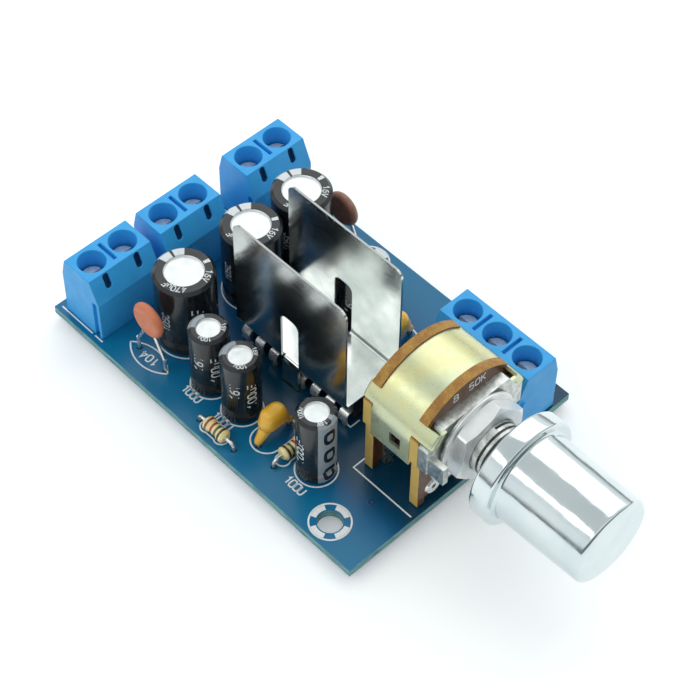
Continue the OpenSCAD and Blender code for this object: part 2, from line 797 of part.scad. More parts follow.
module component_leads() {
    color("silver") {
        for (p = large_leads) straight_wire(p, large_lift + bung_h);
        for (i = [0:9]) straight_wire(small_leads[i], small_lift[floor(i / 2)] + bung_h);
        for (i = [0, 1]) translate([each disc_at[i], 0]) difference() {
            disc_wires(disc_high[i]);
            translate([0, 0, disc_high[i]]) rotate([0, 90, 0])
                cylinder(h = disc_t, d = disc_d, center = true);
        }
        for (p = dip_at) translate([each p, 0]) dip_wires();
        for (r = res_at) translate([r[0], r[1], 0]) rotate([0, 0, r[2]])
            for (s = [0, 1]) mirror([s, 0, 0]) resistor_wire();
    }
}

// Volume control, drawn about its shaft's axis

module at_axis() {
    translate([pot_x, 0, axis_h]) children();
}

// A turned piece: the profile's X is the radius and its Y runs along the shaft
module turned() {
    at_axis() rotate([-90, 0, 0]) rotate_extrude() children();
}

// Half of a ring's outline: round above the axis, straight sides below it
module arch(r, drop) {
    translate([-r, -drop]) square([2 * r, drop]);
    intersection() {
        circle(r, $fn = 96);
        translate([-r, 0]) square([2 * r, r]);
    }
}

module band(r, low, high) {
    intersection() {
        circle(r, $fn = 96);
        translate([-r, low]) square([2 * r, high - low]);
    }
}

// Lugs at both sides, between the cover's ears and its lower edge
module side_lugs() {
    intersection() {
        band(wafer_r, lug_low, ear_low - 0.15);
        translate([-lug_half, -wafer_r]) square([2 * lug_half, 2 * wafer_r]);
    }
}

// Wafer's outline: round top, a lug on each side, and two legs that stand on the board
module wafer_outline() {
    belly = 1.3 - axis_h;
    leg_width = 1.2;
    band(cover_in - 0.05, lug_low, cover_w);
    band(wafer_r, ear_high + 0.15, cover_w);
    side_lugs();
    translate([-leg_half, belly]) square([2 * leg_half, lug_low - belly + eps]);
    for (s = [-1, 1]) translate([s * (leg_half - leg_width / 2) - leg_width / 2, leg_foot - axis_h])
        square([leg_width, axis_h - leg_foot + lug_low]);
}

module wafer(y, hole) {
    at_axis() difference() {
        from_front(y, y + wafer_t) wafer_outline();
        translate([0, y - 1, 0]) rotate([-90, 0, 0]) cylinder(h = wafer_t + 2, d = hole);
        for (i = [-1:1]) translate([i * term_pitch, y - 1, rivet_z - axis_h]) rotate([-90, 0, 0])
            cylinder(h = wafer_t + 2, d = rivet_d);
    }
}

module pot_front_wafer() {
    color("peru") wafer(front_wafer_y, shaft_d + 0.6);
}

module pot_rear_wafer() {
    color("peru") wafer(rear_gang_y, journal_d + 2 * run_gap);
}

// Flat terminal behind an eyelet, with its tail down through the board
module pot_terminal(y, out) {
    strip_y = out > 0 ? y - term_t : y;
    translate([-term_w / 2, strip_y, 0.2]) cube([term_w, term_t, rivet_z + 1]);
    translate([-0.4, strip_y, -board_t]) cube([0.8, term_t, board_t + 0.2 + eps]);
    translate([0, y, rivet_z]) rotate([-90 * out, 0, 0]) rotate_extrude() polygon([
        [0.35, 0],
        [rivet_d / 2, 0],
        [rivet_d / 2, wafer_t],
        [rivet_d / 2 + 0.5, wafer_t],
        [rivet_d / 2 + 0.3, wafer_t + 0.25],
        [0.35, wafer_t + 0.25]
    ]);
}

module pot_terminals() {
    color("silver") for (i = [-1:1]) translate([pot_x + i * term_pitch, 0, 0]) {
        pot_terminal(front_gang_y, -1);
        pot_terminal(rear_gang_y, 1);
    }
}

// Strip of the cover's ring between two heights, as wide as w
module ear(w) {
    difference() {
        band(cover_w / 2, ear_low, ear_high);
        circle(cover_w / 2 - w, $fn = 96);
    }
}

// Sheet cover: an arch between the wafers, with four ears folded over the ends of the stack
module pot_cover() {
    fold = 2;
    window_mid = (front_gang_y + rear_gang_y) / 2 - 0.8;
    color("palegoldenrod") at_axis() {
        difference() {
            from_front(front_gang_y, rear_gang_y) difference() {
                arch(cover_w / 2, cover_drop);
                arch(cover_in, cover_drop + 1);
            }
            translate([-cover_w, window_mid - 0.9, -0.8]) cube([2 * cover_w, 1.8, 2]);
        }
        from_front(plate_y - cover_t, front_gang_y + eps) ear(cover_t);
        from_front(rear_gang_y - eps, rear_wafer_y + cover_t) ear(cover_t);
        from_front(plate_y - cover_t, plate_y) ear(fold);
        from_front(rear_wafer_y, rear_wafer_y + cover_t) ear(fold);
    }
}

module plate_outline() {
    band(plate_r, -plate_down, plate_up);
    side_lugs();
}

// Round cast plate with a flat top and foot, the bush that carries the shaft, and a lug that stops the
// control from turning in a panel
module pot_front_plate() {
    lead_in = 0.4;
    stop_low = -0.9;
    stop_h = 2.9;
    stop_t = 0.8;
    bore_r = shaft_d / 2 + run_gap;
    color("silver") union() {
        at_axis() translate([0.1 - lug_half, plate_y - stop_l, stop_low])
            cube([stop_t, stop_l + eps, stop_h]);
        at_axis() difference() {
            from_front(plate_y, front_wafer_y) plate_outline();
            translate([0, plate_y - 1, 0]) rotate([-90, 0, 0]) cylinder(h = plate_t + 2, r = bore_r);
        }
        turned() polygon([
            [bore_r, plate_y + eps],
            [bush_d / 2, plate_y + eps],
            [bush_d / 2, bush_y + lead_in],
            [bush_d / 2 - lead_in, bush_y],
            [bore_r, bush_y]
        ]);
    }
}

module pot_washer() {
    color("gainsboro") turned() polygon([
        [bush_d / 2 + slip, plate_y],
        [washer_d / 2, plate_y],
        [washer_d / 2, washer_y + 0.15],
        [washer_d / 2 - 0.15, washer_y],
        [bush_d / 2 + slip, washer_y]
    ]);
}

module pot_nut() {
    corner_r = nut_w / 2 / cos(30);
    bevel = 0.4;
    nut_turn = 12;
    color("gainsboro") intersection() {
        at_axis() translate([0, nut_y, 0]) rotate([-90, nut_turn, 0]) difference() {
            cylinder(h = nut_t, r = corner_r, $fn = 6);
            translate([0, 0, -1]) cylinder(h = nut_t + 2, d = bush_d);
        }
        turned() polygon([
            [0, washer_y],
            [corner_r, washer_y],
            [corner_r, nut_y + bevel],
            [corner_r - 1.5 * bevel, nut_y],
            [0, nut_y]
        ]);
    }
}

// Shaft with a reduced rear journal, headed over behind the rear wafer
module pot_shaft() {
    r = shaft_d / 2;
    head_y = rear_wafer_y + 0.1;
    color("lightgray") turned() polygon([
        [0, shaft_front_y],
        [r - 0.4, shaft_front_y],
        [r, shaft_front_y + 0.4],
        [r, rear_gang_y - 0.1],
        [journal_d / 2, rear_gang_y - 0.1],
        [journal_d / 2, head_y],
        [journal_d / 2 + 0.6, head_y],
        [journal_d / 2 + 0.3, head_y + 0.4],
        [0, head_y + 0.4]
    ]);
}

// Moulded wiper carriers, one behind each wafer's track
module pot_rotors() {
    hub_r = shaft_d / 2 + 1.2;
    hub_l = 1.2;
    color("whitesmoke") {
        rotor(front_gang_y + rotor_gap, hub_r, hub_l);
        rotor(rear_gang_y - rotor_gap, hub_r, -hub_l);
    }
}

module rotor(y, hub_r, hub_l) {
    side = sign(hub_l);
    turned() polygon([
        [shaft_d / 2, y],
        [rotor_d / 2, y],
        [rotor_d / 2, y + side * rotor_t],
        [hub_r, y + side * rotor_t],
        [hub_r, y + side * rotor_t + hub_l],
        [shaft_d / 2, y + side * rotor_t + hub_l]
    ]);
}

module knob() {
    flange_y = knob_rear_y - flange_t;
    soft = 0.3;
    color("ghostwhite") turned() polygon([
        [shaft_d / 2, knob_rear_y],
        [flange_d / 2 - soft, knob_rear_y],
        [flange_d / 2, knob_rear_y - soft],
        [flange_d / 2, flange_y + soft],
        [flange_d / 2 - soft, flange_y],
        [barrel_d / 2 + soft, flange_y],
        [barrel_d / 2, flange_y - soft],
        [barrel_d / 2, knob_front_y + knob_edge],
        [barrel_d / 2 - knob_edge, knob_front_y],
        [0, knob_front_y],
        [0, shaft_front_y],
        [shaft_d / 2, shaft_front_y]
    ]);
}

translate(stand) circuit_board();
translate(stand) terminal_solder();
translate(stand) component_solder();
for (k = [1:4]) {
    translate(stand) terminal_housing(k);
    translate(stand) clamp_frames(k);
}
for (k = [1:9]) {
    translate(stand) wire_guard(k);
    translate(stand) terminal_screw(k);
}
translate(stand) chip_body();
translate(stand) chip_pins();
translate(stand) heat_sink();
for (k = [1:3]) translate(stand) large_sleeve(k);
for (k = [1:5]) translate(stand) small_sleeve(k);
translate(stand) large_cans();
translate(stand) small_cans();
translate(stand) can_bungs();
translate(stand) component_leads();
for (k = [1:2]) {
    translate(stand) disc_capacitor(k);
    translate(stand) dipped_capacitor(k);
    translate(stand) resistor(k);
}
translate(stand) pot_cover();
translate(stand) pot_front_plate();
translate(stand) pot_front_wafer();
translate(stand) pot_rear_wafer();
translate(stand) pot_terminals();
translate(stand) pot_shaft();
translate(stand) pot_rotors();
translate(stand) pot_washer();
translate(stand) pot_nut();
translate(stand) knob();
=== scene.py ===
"""Looks of the audio amplifier board: finishes for the CAD nodes, the board's white print, and the small
shapes that CAD leaves plain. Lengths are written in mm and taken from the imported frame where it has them."""

import math

import bmesh
import bpy
from mathutils import Matrix, Vector


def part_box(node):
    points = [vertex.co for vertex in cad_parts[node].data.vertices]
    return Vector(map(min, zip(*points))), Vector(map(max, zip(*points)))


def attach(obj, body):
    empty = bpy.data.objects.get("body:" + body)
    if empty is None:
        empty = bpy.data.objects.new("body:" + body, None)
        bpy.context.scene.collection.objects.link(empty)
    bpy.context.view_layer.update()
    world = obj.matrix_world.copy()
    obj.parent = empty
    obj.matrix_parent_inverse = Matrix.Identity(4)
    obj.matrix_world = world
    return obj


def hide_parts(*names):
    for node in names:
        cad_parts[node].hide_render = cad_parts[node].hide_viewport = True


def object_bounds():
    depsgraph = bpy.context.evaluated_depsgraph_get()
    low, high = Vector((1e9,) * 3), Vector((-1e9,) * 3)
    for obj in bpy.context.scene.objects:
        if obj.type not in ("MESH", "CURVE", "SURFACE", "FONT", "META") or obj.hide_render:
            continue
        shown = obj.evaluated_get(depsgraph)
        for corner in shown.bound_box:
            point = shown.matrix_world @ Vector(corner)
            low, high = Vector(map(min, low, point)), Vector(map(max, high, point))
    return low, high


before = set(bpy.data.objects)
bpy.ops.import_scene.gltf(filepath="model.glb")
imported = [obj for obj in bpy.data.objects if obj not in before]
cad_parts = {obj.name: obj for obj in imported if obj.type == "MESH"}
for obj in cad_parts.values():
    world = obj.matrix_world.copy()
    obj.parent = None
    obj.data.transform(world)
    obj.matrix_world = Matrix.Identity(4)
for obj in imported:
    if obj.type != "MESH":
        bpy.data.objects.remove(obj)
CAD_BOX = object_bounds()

MM = 0.001

# The board frame: the middle of the board's top face, as the part's source has it.
BOARD_LO, BOARD_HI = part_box("circuit_board")
TOP = Vector(((BOARD_LO.x + BOARD_HI.x) / 2, (BOARD_LO.y + BOARD_HI.y) / 2, BOARD_HI.z))

# Places that no CAD node marks by itself: the mounting holes and one via, in the board frame.
HOLES = [(-15.9, -20.9), (15.9, 5.2)]
VIA = (-10.4, -22.2)
# The inner slope of a terminal block, across and down, and the screws of the rear blocks.
SLOPE_RUN, SLOPE_DROP = 1.5, 3.5
REAR_WAYS = range(1, 7)


def at(x, y, z=0.0):
    """A place in the board frame, in mm, as a point of the scene."""
    return TOP + Vector((x, y, z)) * MM


def spot(node):
    """Centre and half size of a CAD node in the board frame, in mm."""
    lo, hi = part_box(node)
    return ((lo + hi) / 2 - TOP) / MM, (hi - lo) / 2 / MM


# Finishes

def rgb(red, green, blue):
    """A colour as a screen shows it, 0 to 255, in the linear values that shaders take."""
    def linear(c):
        c /= 255
        return c / 12.92 if c <= 0.04045 else ((c + 0.055) / 1.055) ** 2.4
    return (linear(red), linear(green), linear(blue), 1.0)


class Finish:
    """A material on the Principled shader, with short ways to lay textures on its sockets."""

    def __init__(self, name, color, rough, metal=0.0, **sockets):
        self.mat = bpy.data.materials.new(name)
        self.mat.use_nodes = True
        self.nodes = self.mat.node_tree.nodes
        self.links = self.mat.node_tree.links
        self.shader = self.nodes["Principled BSDF"]
        self.place = self.nodes.new("ShaderNodeTexCoord").outputs["Object"]
        self.normal = None
        self.set("Base Color", color)
        self.set("Roughness", rough)
        self.set("Metallic", metal)
        for socket, value in sockets.items():
            self.set(socket.replace("_", " "), value)

    def feed(self, socket, source):
        if isinstance(source, bpy.types.NodeSocket):
            self.links.new(source, socket)
        else:
            socket.default_value = source

    def set(self, socket, source):
        self.feed(self.shader.inputs[socket], source)

    def node(self, kind, sources, **settings):
        made = self.nodes.new("ShaderNode" + kind)
        for key, value in settings.items():
            setattr(made, key, value)
        for key, source in sources.items():
            self.feed(made.inputs[key], source)
        return made

    def math(self, operation, *values):
        return self.node("Math", dict(enumerate(values)), operation=operation).outputs[0]

    def axis(self, name):
        return self.node("SeparateXYZ", {0: self.place}).outputs[name]

    def noise(self, size, detail=3.0, stretch=(1, 1, 1)):
        """Noise whose features are about that many mm across, stretched by these factors."""
        scale = Vector([1 / s for s in stretch])
        where = self.node("VectorMath", {0: self.place, 1: scale}, operation="MULTIPLY").outputs[0]
        return self.node("TexNoise", {"Vector": where, "Scale": 1 / (size * MM), "Detail": detail}).outputs["Fac"]

    def ramp(self, value, low, high, start=0.0, end=1.0):
        """value from low to high, brought smoothly to start and end."""
        sources = {"Value": value, "From Min": low, "From Max": high, "To Min": start, "To Max": end}
        return self.node("MapRange", sources, interpolation_type="SMOOTHSTEP").outputs[0]

    def mix(self, factor, first, second):
        return self.node("Mix", {0: factor, 6: first, 7: second}, data_type="RGBA").outputs[2]

    def bump(self, height, depth, strength=1.0):
        """Relief of that many mm, on top of any that the finish has already."""
        sources = {"Height": height, "Distance": depth * MM, "Strength": strength}
        if self.normal:
            sources["Normal"] = self.normal
        self.normal = self.node("Bump", sources).outputs[0]
        self.set("Normal", self.normal)


def mottled(name, dark, light, rough, metal=0.0, size=1.0, spread=0.08, relief=0.0, grain=0.15, **sockets):
    """A finish whose colour and gloss drift between two tones, with a fine surface grain."""
    f = Finish(name, dark, rough, metal, **sockets)
    drift = f.noise(size)
    f.set("Base Color", f.mix(f.ramp(drift, 0.3, 0.7), dark, light))
    f.set("Roughness", f.ramp(f.noise(size * 0.6), 0.25, 0.75, rough - spread, rough + spread))
    if relief:
        f.bump(f.noise(grain), relief)
    return f


def facing(f, axis):
    """How far a surface faces along an axis, either way, from 0 to 1."""
    normal = f.node("NewGeometry", {}).outputs["Normal"]
    return f.math("ABSOLUTE", f.node("SeparateXYZ", {0: normal}).outputs[axis])


def board_finish():
    """Blue mask with a painted reflection that brightens it towards the sides, and painted shade that darkens it in
    front towards the volume control and beside the chip, with a faint glass weave, one tented via, and the laminate
    itself at the cut edges."""
    f = Finish("board_mask", rgb(9, 90, 140), 0.28, Specular_IOR_Level=0.35)
    cloudy = f.ramp(f.noise(9.0), 0.3, 0.7)
    mask = f.mix(cloudy, rgb(7, 84, 134), rgb(9, 94, 146))
    # Painted reflection: the mask is brightened towards the board's left and right edges.
    out = f.math("ABSOLUTE", f.math("SUBTRACT", f.axis("X"), TOP.x))
    mask = f.mix(f.ramp(out, 9 * MM, 17 * MM, 0, 0.9), mask, rgb(8, 114, 156))
    # Painted shade: the mask is darkened in front, towards the volume control, and beside the chip.
    ahead = f.ramp(f.axis("Y"), at(0, -19).y, at(0, -9).y, 1, 0)
    inward = f.ramp(f.axis("X"), at(-13, 0).x, at(-8, 0).x)
    beside = f.math("MULTIPLY", f.ramp(f.axis("Y"), at(0, 2).y, at(0, 12).y, 1, 0),
                    f.ramp(f.axis("X"), at(1, 0).x, at(6, 0).x, 1, 0))
    painted_shade = f.math("MULTIPLY", inward, f.math("MAXIMUM", ahead, beside))
    mask = f.mix(painted_shade, mask, rgb(8, 60, 86))
    weave_x = f.math("SINE", f.math("MULTIPLY", f.axis("X"), 2 * math.pi / (0.55 * MM)))
    weave_y = f.math("SINE", f.math("MULTIPLY", f.axis("Y"), 2 * math.pi / (0.55 * MM)))
    weave = f.math("MULTIPLY", weave_x, weave_y)
    mask = f.mix(f.ramp(weave, -1, 1, 0, 0.06), mask, rgb(24, 116, 164))
    via_off = f.node("VectorMath", {0: f.place, 1: at(*VIA)}, operation="DISTANCE").outputs["Value"]
    via_ring = f.ramp(f.math("ABSOLUTE", f.math("SUBTRACT", via_off, 0.32 * MM)), 0, 0.2 * MM, 1, 0)
    mask = f.mix(f.math("MULTIPLY", via_ring, 0.5), mask, rgb(14, 40, 60))
    layers = f.ramp(f.noise(0.25, 2.0, (8, 8, 1)), 0.35, 0.65)
    laminate = f.mix(layers, rgb(80, 130, 136), rgb(128, 174, 174))
    flat = f.ramp(facing(f, "Z"), 0.4, 0.6)
    f.set("Base Color", f.mix(flat, laminate, mask))
    f.set("Roughness", f.ramp(flat, 0, 1, 0.6, 0.24))
    f.bump(weave, 0.002)
    f.bump(via_ring, 0.02)
    f.bump(f.noise(0.8), 0.004)
    return f


def sleeve_finish(name, node, faces, half, mark_half, mark_l, mark_pitch, pale, hollow=0.0):
    """Black shrink sleeve with the pale stripe of minus marks that shows the negative lead.
    faces is the compass turn of the stripe, half its half width, both in degrees about the can's axis."""
    centre, size = spot(node)
    foot = at(centre.x, centre.y, centre.z - size.z)
    f = Finish(name, rgb(26, 30, 33), 0.24, Specular_IOR_Level=0.5)
    x = f.math("SUBTRACT", f.axis("X"), foot.x)
    y = f.math("SUBTRACT", f.axis("Y"), foot.y)
    c, s = math.cos(math.radians(faces)), math.sin(math.radians(faces))
    along = f.math("ADD", f.math("MULTIPLY", x, c), f.math("MULTIPLY", y, s))
    across = f.math("SUBTRACT", f.math("MULTIPLY", y, c), f.math("MULTIPLY", x, s))
    turn = f.math("ABSOLUTE", f.math("ARCTAN2", across, along))
    edge = math.radians(half)
    stripe = f.ramp(turn, edge - 0.02, edge + 0.02, 1, 0)
    step = f.math("FRACT", f.math("DIVIDE", f.math("SUBTRACT", f.axis("Z"), foot.z), mark_pitch * MM))
    up = f.math("DIVIDE", f.math("SUBTRACT", step, 0.5), mark_l / mark_pitch / 2)
    side = f.math("DIVIDE", turn, math.radians(mark_half))
    oval = f.math("ADD", f.math("POWER", f.math("ABSOLUTE", up), 3.0), f.math("POWER", side, 3.0))
    heart = f.ramp(oval, hollow * 0.8, hollow * 1.2 + 0.001)
    mark = f.math("MULTIPLY", f.ramp(oval, 0.9, 1.1, 1, 0), heart)
    printed = f.math("MULTIPLY", stripe, f.math("SUBTRACT", 1.0, mark))
    worn = f.math("MULTIPLY", printed, f.ramp(f.noise(0.35), 0.2, 0.45, 0.8, 1.0))
    black = f.mix(f.ramp(f.noise(1.6), 0.3, 0.7), rgb(20, 24, 27), rgb(32, 37, 41))
    f.set("Base Color", f.mix(worn, black, pale))
    f.set("Roughness", f.ramp(f.noise(0.8), 0.3, 0.7, 0.15, 0.23))
    f.bump(f.noise(1.4, 2.0, (1, 1, 2.5)), 0.014)
    f.bump(f.noise(0.2), 0.002)
    return f


def sink_finish():
    """Bright plated sheet, finely brushed along its length and duller along its sheared top edge."""
    f = Finish("sink_metal", rgb(224, 228, 226), 0.18, 1.0)
    brushed = f.noise(0.12, 3.0, (1, 22, 1))
    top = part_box("heat_sink")[1].z
    rim = f.ramp(f.axis("Z"), top - 2.2 * MM, top - 0.2 * MM)
    speckle = f.math("MULTIPLY", rim, f.ramp(f.noise(0.3, 4.0), 0.42, 0.62))
    cloudy = f.ramp(f.noise(3.0), 0.3, 0.7)
    sheared = f.ramp(f.axis("Z"), top - 0.12 * MM, top - 0.04 * MM)
    plated = f.mix(cloudy, rgb(214, 219, 217), rgb(232, 235, 232))
    f.set("Base Color", f.mix(sheared, plated, rgb(150, 154, 152)))
    smooth = f.ramp(brushed, 0.3, 0.7, 0.14, 0.2)
    f.set("Roughness", f.math("ADD", smooth, f.math("MULTIPLY", speckle, 0.1)))
    f.bump(brushed, 0.0012)
    return f


def cover_finish():
    """Yellow passivated zinc, drifting from straw to a cool grey-green."""
    f = Finish("cover_zinc", rgb(226, 228, 176), 0.3, 0.72)
    drift = f.ramp(f.noise(5.5, 2.0), 0.32, 0.68)
    tone = f.mix(drift, rgb(217, 216, 162), rgb(204, 213, 180))
    stain = f.ramp(f.noise(0.6, 4.0), 0.7, 0.78, 0, 0.25)
    f.set("Base Color", f.mix(stain, tone, rgb(170, 166, 104)))
    f.set("Roughness", f.ramp(f.noise(0.9), 0.3, 0.7, 0.26, 0.36))
    f.bump(f.noise(0.25, 3.0), 0.002)
    return f


def wafer_finish():
    """Paper laminate: a smooth dark brown face, and a cut edge that is golden, fibrous and speckled, with a painted
    highlight that makes the edges facing sideways paler.
    """
    f = Finish("wafer_phenolic", rgb(150, 100, 44), 0.45)
    face = f.ramp(facing(f, "Y"), 0.6, 0.8)
    fibre = f.ramp(f.noise(0.22, 4.0, (1, 0.5, 1)), 0.35, 0.65)
    edge = f.mix(fibre, rgb(160, 116, 48), rgb(196, 150, 68))
    edge = f.mix(f.ramp(f.noise(1.6, 2.0), 0.35, 0.65, 0, 0.6), edge, rgb(140, 88, 36))
    pits = f.ramp(f.noise(0.12, 3.0), 0.62, 0.7)
    edge = f.mix(f.math("MULTIPLY", pits, 0.4), edge, rgb(92, 62, 24))
    sheet = f.mix(f.ramp(f.noise(0.9), 0.3, 0.7), rgb(78, 46, 24), rgb(108, 66, 32))
    # Painted highlight: the cut edges that face sideways are paler.
    edge = f.mix(f.ramp(facing(f, "X"), 0.8, 0.95, 0, 0.75), edge, rgb(224, 194, 108))
    f.set("Base Color", f.mix(face, edge, sheet))
    f.set("Roughness", f.ramp(face, 0, 1, 0.6, 0.36))
    f.bump(f.math("MULTIPLY", fibre, f.math("SUBTRACT", 1.0, face)), 0.02)
    f.bump(f.noise(0.3), 0.003)
    return f


def shade_pockets(f):
    """Paints shade into the insides of the test pockets in the rear blocks' inner slopes."""
    head, foot, depth, half, soft = 0.1, 2.45, 1.0, 0.5, 0.1
    low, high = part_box("terminal_housing_1")
    fall = math.atan2(SLOPE_RUN, SLOPE_DROP)
    c, s = math.cos(fall), math.sin(fall)
    below = f.math("SUBTRACT", high.z, f.axis("Z"))
    ahead = f.math("SUBTRACT", low.y + SLOPE_RUN * MM, f.axis("Y"))
    down = f.math("ADD", f.math("MULTIPLY", below, c), f.math("MULTIPLY", ahead, s))
    deep = f.math("SUBTRACT", f.math("MULTIPLY", below, s), f.math("MULTIPLY", ahead, c))
    inside = f.ramp(deep, 0.05 * MM, 0.3 * MM)
    for edge in (f.ramp(deep, depth * MM, (depth + soft) * MM, 1, 0),
                 f.ramp(down, head * MM, (head + soft) * MM),
                 f.ramp(down, foot * MM, (foot + soft) * MM, 1, 0)):
        inside = f.math("MULTIPLY", inside, edge)
    near = 0.0
    for k in REAR_WAYS:
        way_x = at(spot(f"terminal_screw_{k}")[0].x, 0).x
        off = f.math("ABSOLUTE", f.math("SUBTRACT", f.axis("X"), way_x))
        near = f.math("MAXIMUM", f.ramp(off, half * MM, (half + soft / 2) * MM, 1, 0), near)
    plain = f.shader.inputs["Base Color"].links[0].from_socket
    # Painted shade: a darker blue inside the pockets.
    f.set("Base Color", f.mix(f.math("MULTIPLY", inside, near), plain, rgb(28, 76, 124)))


def chrome_finish():
    """Chromed knob: a soft mirror with the ripple of plated plastic along its length."""
    f = Finish("knob_chrome", rgb(230, 237, 238), 0.1, 1.0)
    f.set("Base Color", f.mix(f.ramp(f.noise(5.0), 0.3, 0.7), rgb(208, 219, 221), rgb(217, 226, 227)))
    f.set("Roughness", f.ramp(f.noise(0.9, 4.0), 0.35, 0.75, 0.1, 0.16))
    f.bump(f.noise(2.2, 1.0, (1, 1.6, 1)), 0.06)
    f.bump(f.noise(0.7, 2.0, (1, 2.2, 1)), 0.005)
    return f


def resistor_finish(name, node, lengthwise, bands):
    """Beige lacquer with colour rings. bands lists each ring's place along the body, in mm, and its colour."""
    centre = spot(node)[0]
    f = Finish(name, rgb(232, 212, 152), 0.32, Coat_Weight=0.4, Coat_Roughness=0.12)
    middle = at(centre.x, centre.y).x if lengthwise == "X" else at(centre.x, centre.y).y
    along = f.math("SUBTRACT", f.axis(lengthwise), middle)
    color = f.mix(f.ramp(f.noise(0.7), 0.3, 0.7), rgb(244, 222, 150), rgb(251, 235, 172))
    for place, tone in bands:
        off = f.math("ABSOLUTE", f.math("SUBTRACT", along, place * MM))
        color = f.mix(f.ramp(off, 0.15 * MM, 0.2 * MM, 1, 0), color, tone)
    f.set("Base Color", color)
    f.set("Roughness", f.ramp(f.noise(0.5), 0.3, 0.7, 0.26, 0.38))
    f.bump(f.noise(0.4), 0.004)
    return f


HOUSING = mottled("housing_blue", rgb(54, 163, 230), rgb(60, 170, 236), 0.42, size=2.5, relief=0.002,
                  grain=0.12, Specular_IOR_Level=0.35)
shade_pockets(HOUSING)
BRASS = mottled("clamp_brass", rgb(200, 184, 130), rgb(220, 206, 158), 0.32, 1.0, relief=0.002)
STEEL = mottled("plated_steel", rgb(232, 235, 235), rgb(242, 244, 243), 0.34, 0.6, size=2.0, spread=0.04,
                relief=0.0015, grain=0.3)
SCREW = mottled("screw_zinc", rgb(208, 213, 214), rgb(228, 232, 232), 0.42, 0.45, size=0.7, spread=0.06,
                relief=0.001, grain=0.2)
CHIP = mottled("chip_black", rgb(24, 27, 29), rgb(34, 37, 39), 0.48, size=0.6, relief=0.006, grain=0.09)
TINNED = mottled("tinned_lead", rgb(214, 218, 217), rgb(230, 233, 231), 0.28, 0.9, size=0.6, spread=0.05,
                 relief=0.001, grain=0.25)
PIN = mottled("pin_tin", rgb(240, 243, 242), rgb(249, 250, 249), 0.3, 0.8, size=0.6, spread=0.05, relief=0.002)
SOLDER = mottled("solder", rgb(200, 204, 205), rgb(224, 227, 227), 0.22, 1.0, size=0.4, relief=0.006, grain=0.3)
CAN = mottled("can_metal", rgb(216, 220, 220), rgb(228, 231, 231), 0.36, 0.75, size=1.2, spread=0.05,
              relief=0.001)
BUNG = mottled("bung_rubber", rgb(20, 21, 22), rgb(34, 34, 34), 0.7, size=0.5, relief=0.01)
DISC_ORANGE = mottled("disc_orange", rgb(206, 118, 82), rgb(217, 132, 95), 0.46, size=0.9, relief=0.008,
                      grain=0.3)
DISC_BROWN = mottled("disc_brown", rgb(140, 98, 80), rgb(158, 114, 94), 0.4, size=0.9, relief=0.008,
                     grain=0.3)
DIPPED = mottled("dipped_yellow", rgb(240, 176, 40), rgb(248, 192, 58), 0.22, size=1.1, relief=0.004, grain=0.7,
                 Coat_Weight=0.4, Coat_Roughness=0.08)
CAST = mottled("cast_plate", rgb(178, 183, 179), rgb(214, 217, 212), 0.34, 1.0, size=0.7, spread=0.08,
               relief=0.014, grain=0.6)
# Painted shade: the thread's metal is dark, standing in for the shade in its grooves.
THREAD = mottled("bush_thread", rgb(62, 65, 65), rgb(90, 93, 92), 0.3, 1.0, size=0.6, relief=0.001)
SHAFT = mottled("shaft_metal", rgb(198, 200, 202), rgb(220, 222, 223), 0.24, 1.0, size=0.6, relief=0.002)
ROTOR = mottled("rotor_plastic", rgb(222, 218, 206), rgb(236, 232, 222), 0.5, size=0.8, relief=0.004)
INK = mottled("legend_ink", rgb(232, 237, 238), rgb(246, 248, 248), 0.55, size=0.3, relief=0.002, grain=0.1)
SLEEVE_INK = mottled("sleeve_ink", rgb(200, 207, 210), rgb(234, 238, 239), 0.42, size=0.25, relief=0.001,
                     grain=0.1)
BOARD = board_finish()
SINK = sink_finish()
COVER = cover_finish()
WAFER = wafer_finish()
CHROME = chrome_finish()


def paint(finish, *nodes):
    """Gives these CAD nodes one finish in every material slot."""
    for name in nodes:
        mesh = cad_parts[name].data
        mesh.materials.clear()
        mesh.materials.append(finish.mat)


def soften(width, *nodes, angle=32, merge=False):
    """Rounds the sharp edges of these CAD nodes by that many mm, as moulding or deburring does. merge first
    joins the triangles of each flat face, so that no seam between them shows."""
    for name in nodes:
        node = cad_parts[name]
        weld = node.modifiers.new("weld", "WELD")
        weld.merge_threshold = 0.0005 * MM
        if merge:
            flats = node.modifiers.new("flats", "DECIMATE")
            flats.decimate_type, flats.angle_limit = "DISSOLVE", math.radians(1)
        bevel = node.modifiers.new("bevel", "BEVEL")
        bevel.width = width * MM
        bevel.segments = 2
        bevel.limit_method = "ANGLE"
        bevel.angle_limit = math.radians(angle)
        bevel.use_clamp_overlap = False
        bevel.harden_normals = True


def dip(voxel, *nodes):
    """Runs these CAD nodes together into one smooth coat, as a part has that was dipped in lacquer."""
    for name in nodes:
        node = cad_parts[name]
        coat = node.modifiers.new("coat", "REMESH")
        coat.mode = "VOXEL"
        coat.voxel_size = voxel * MM
        coat.use_smooth_shade = True
        flow = node.modifiers.new("flow", "SMOOTH")
        flow.factor = 0.5
        flow.iterations = 10


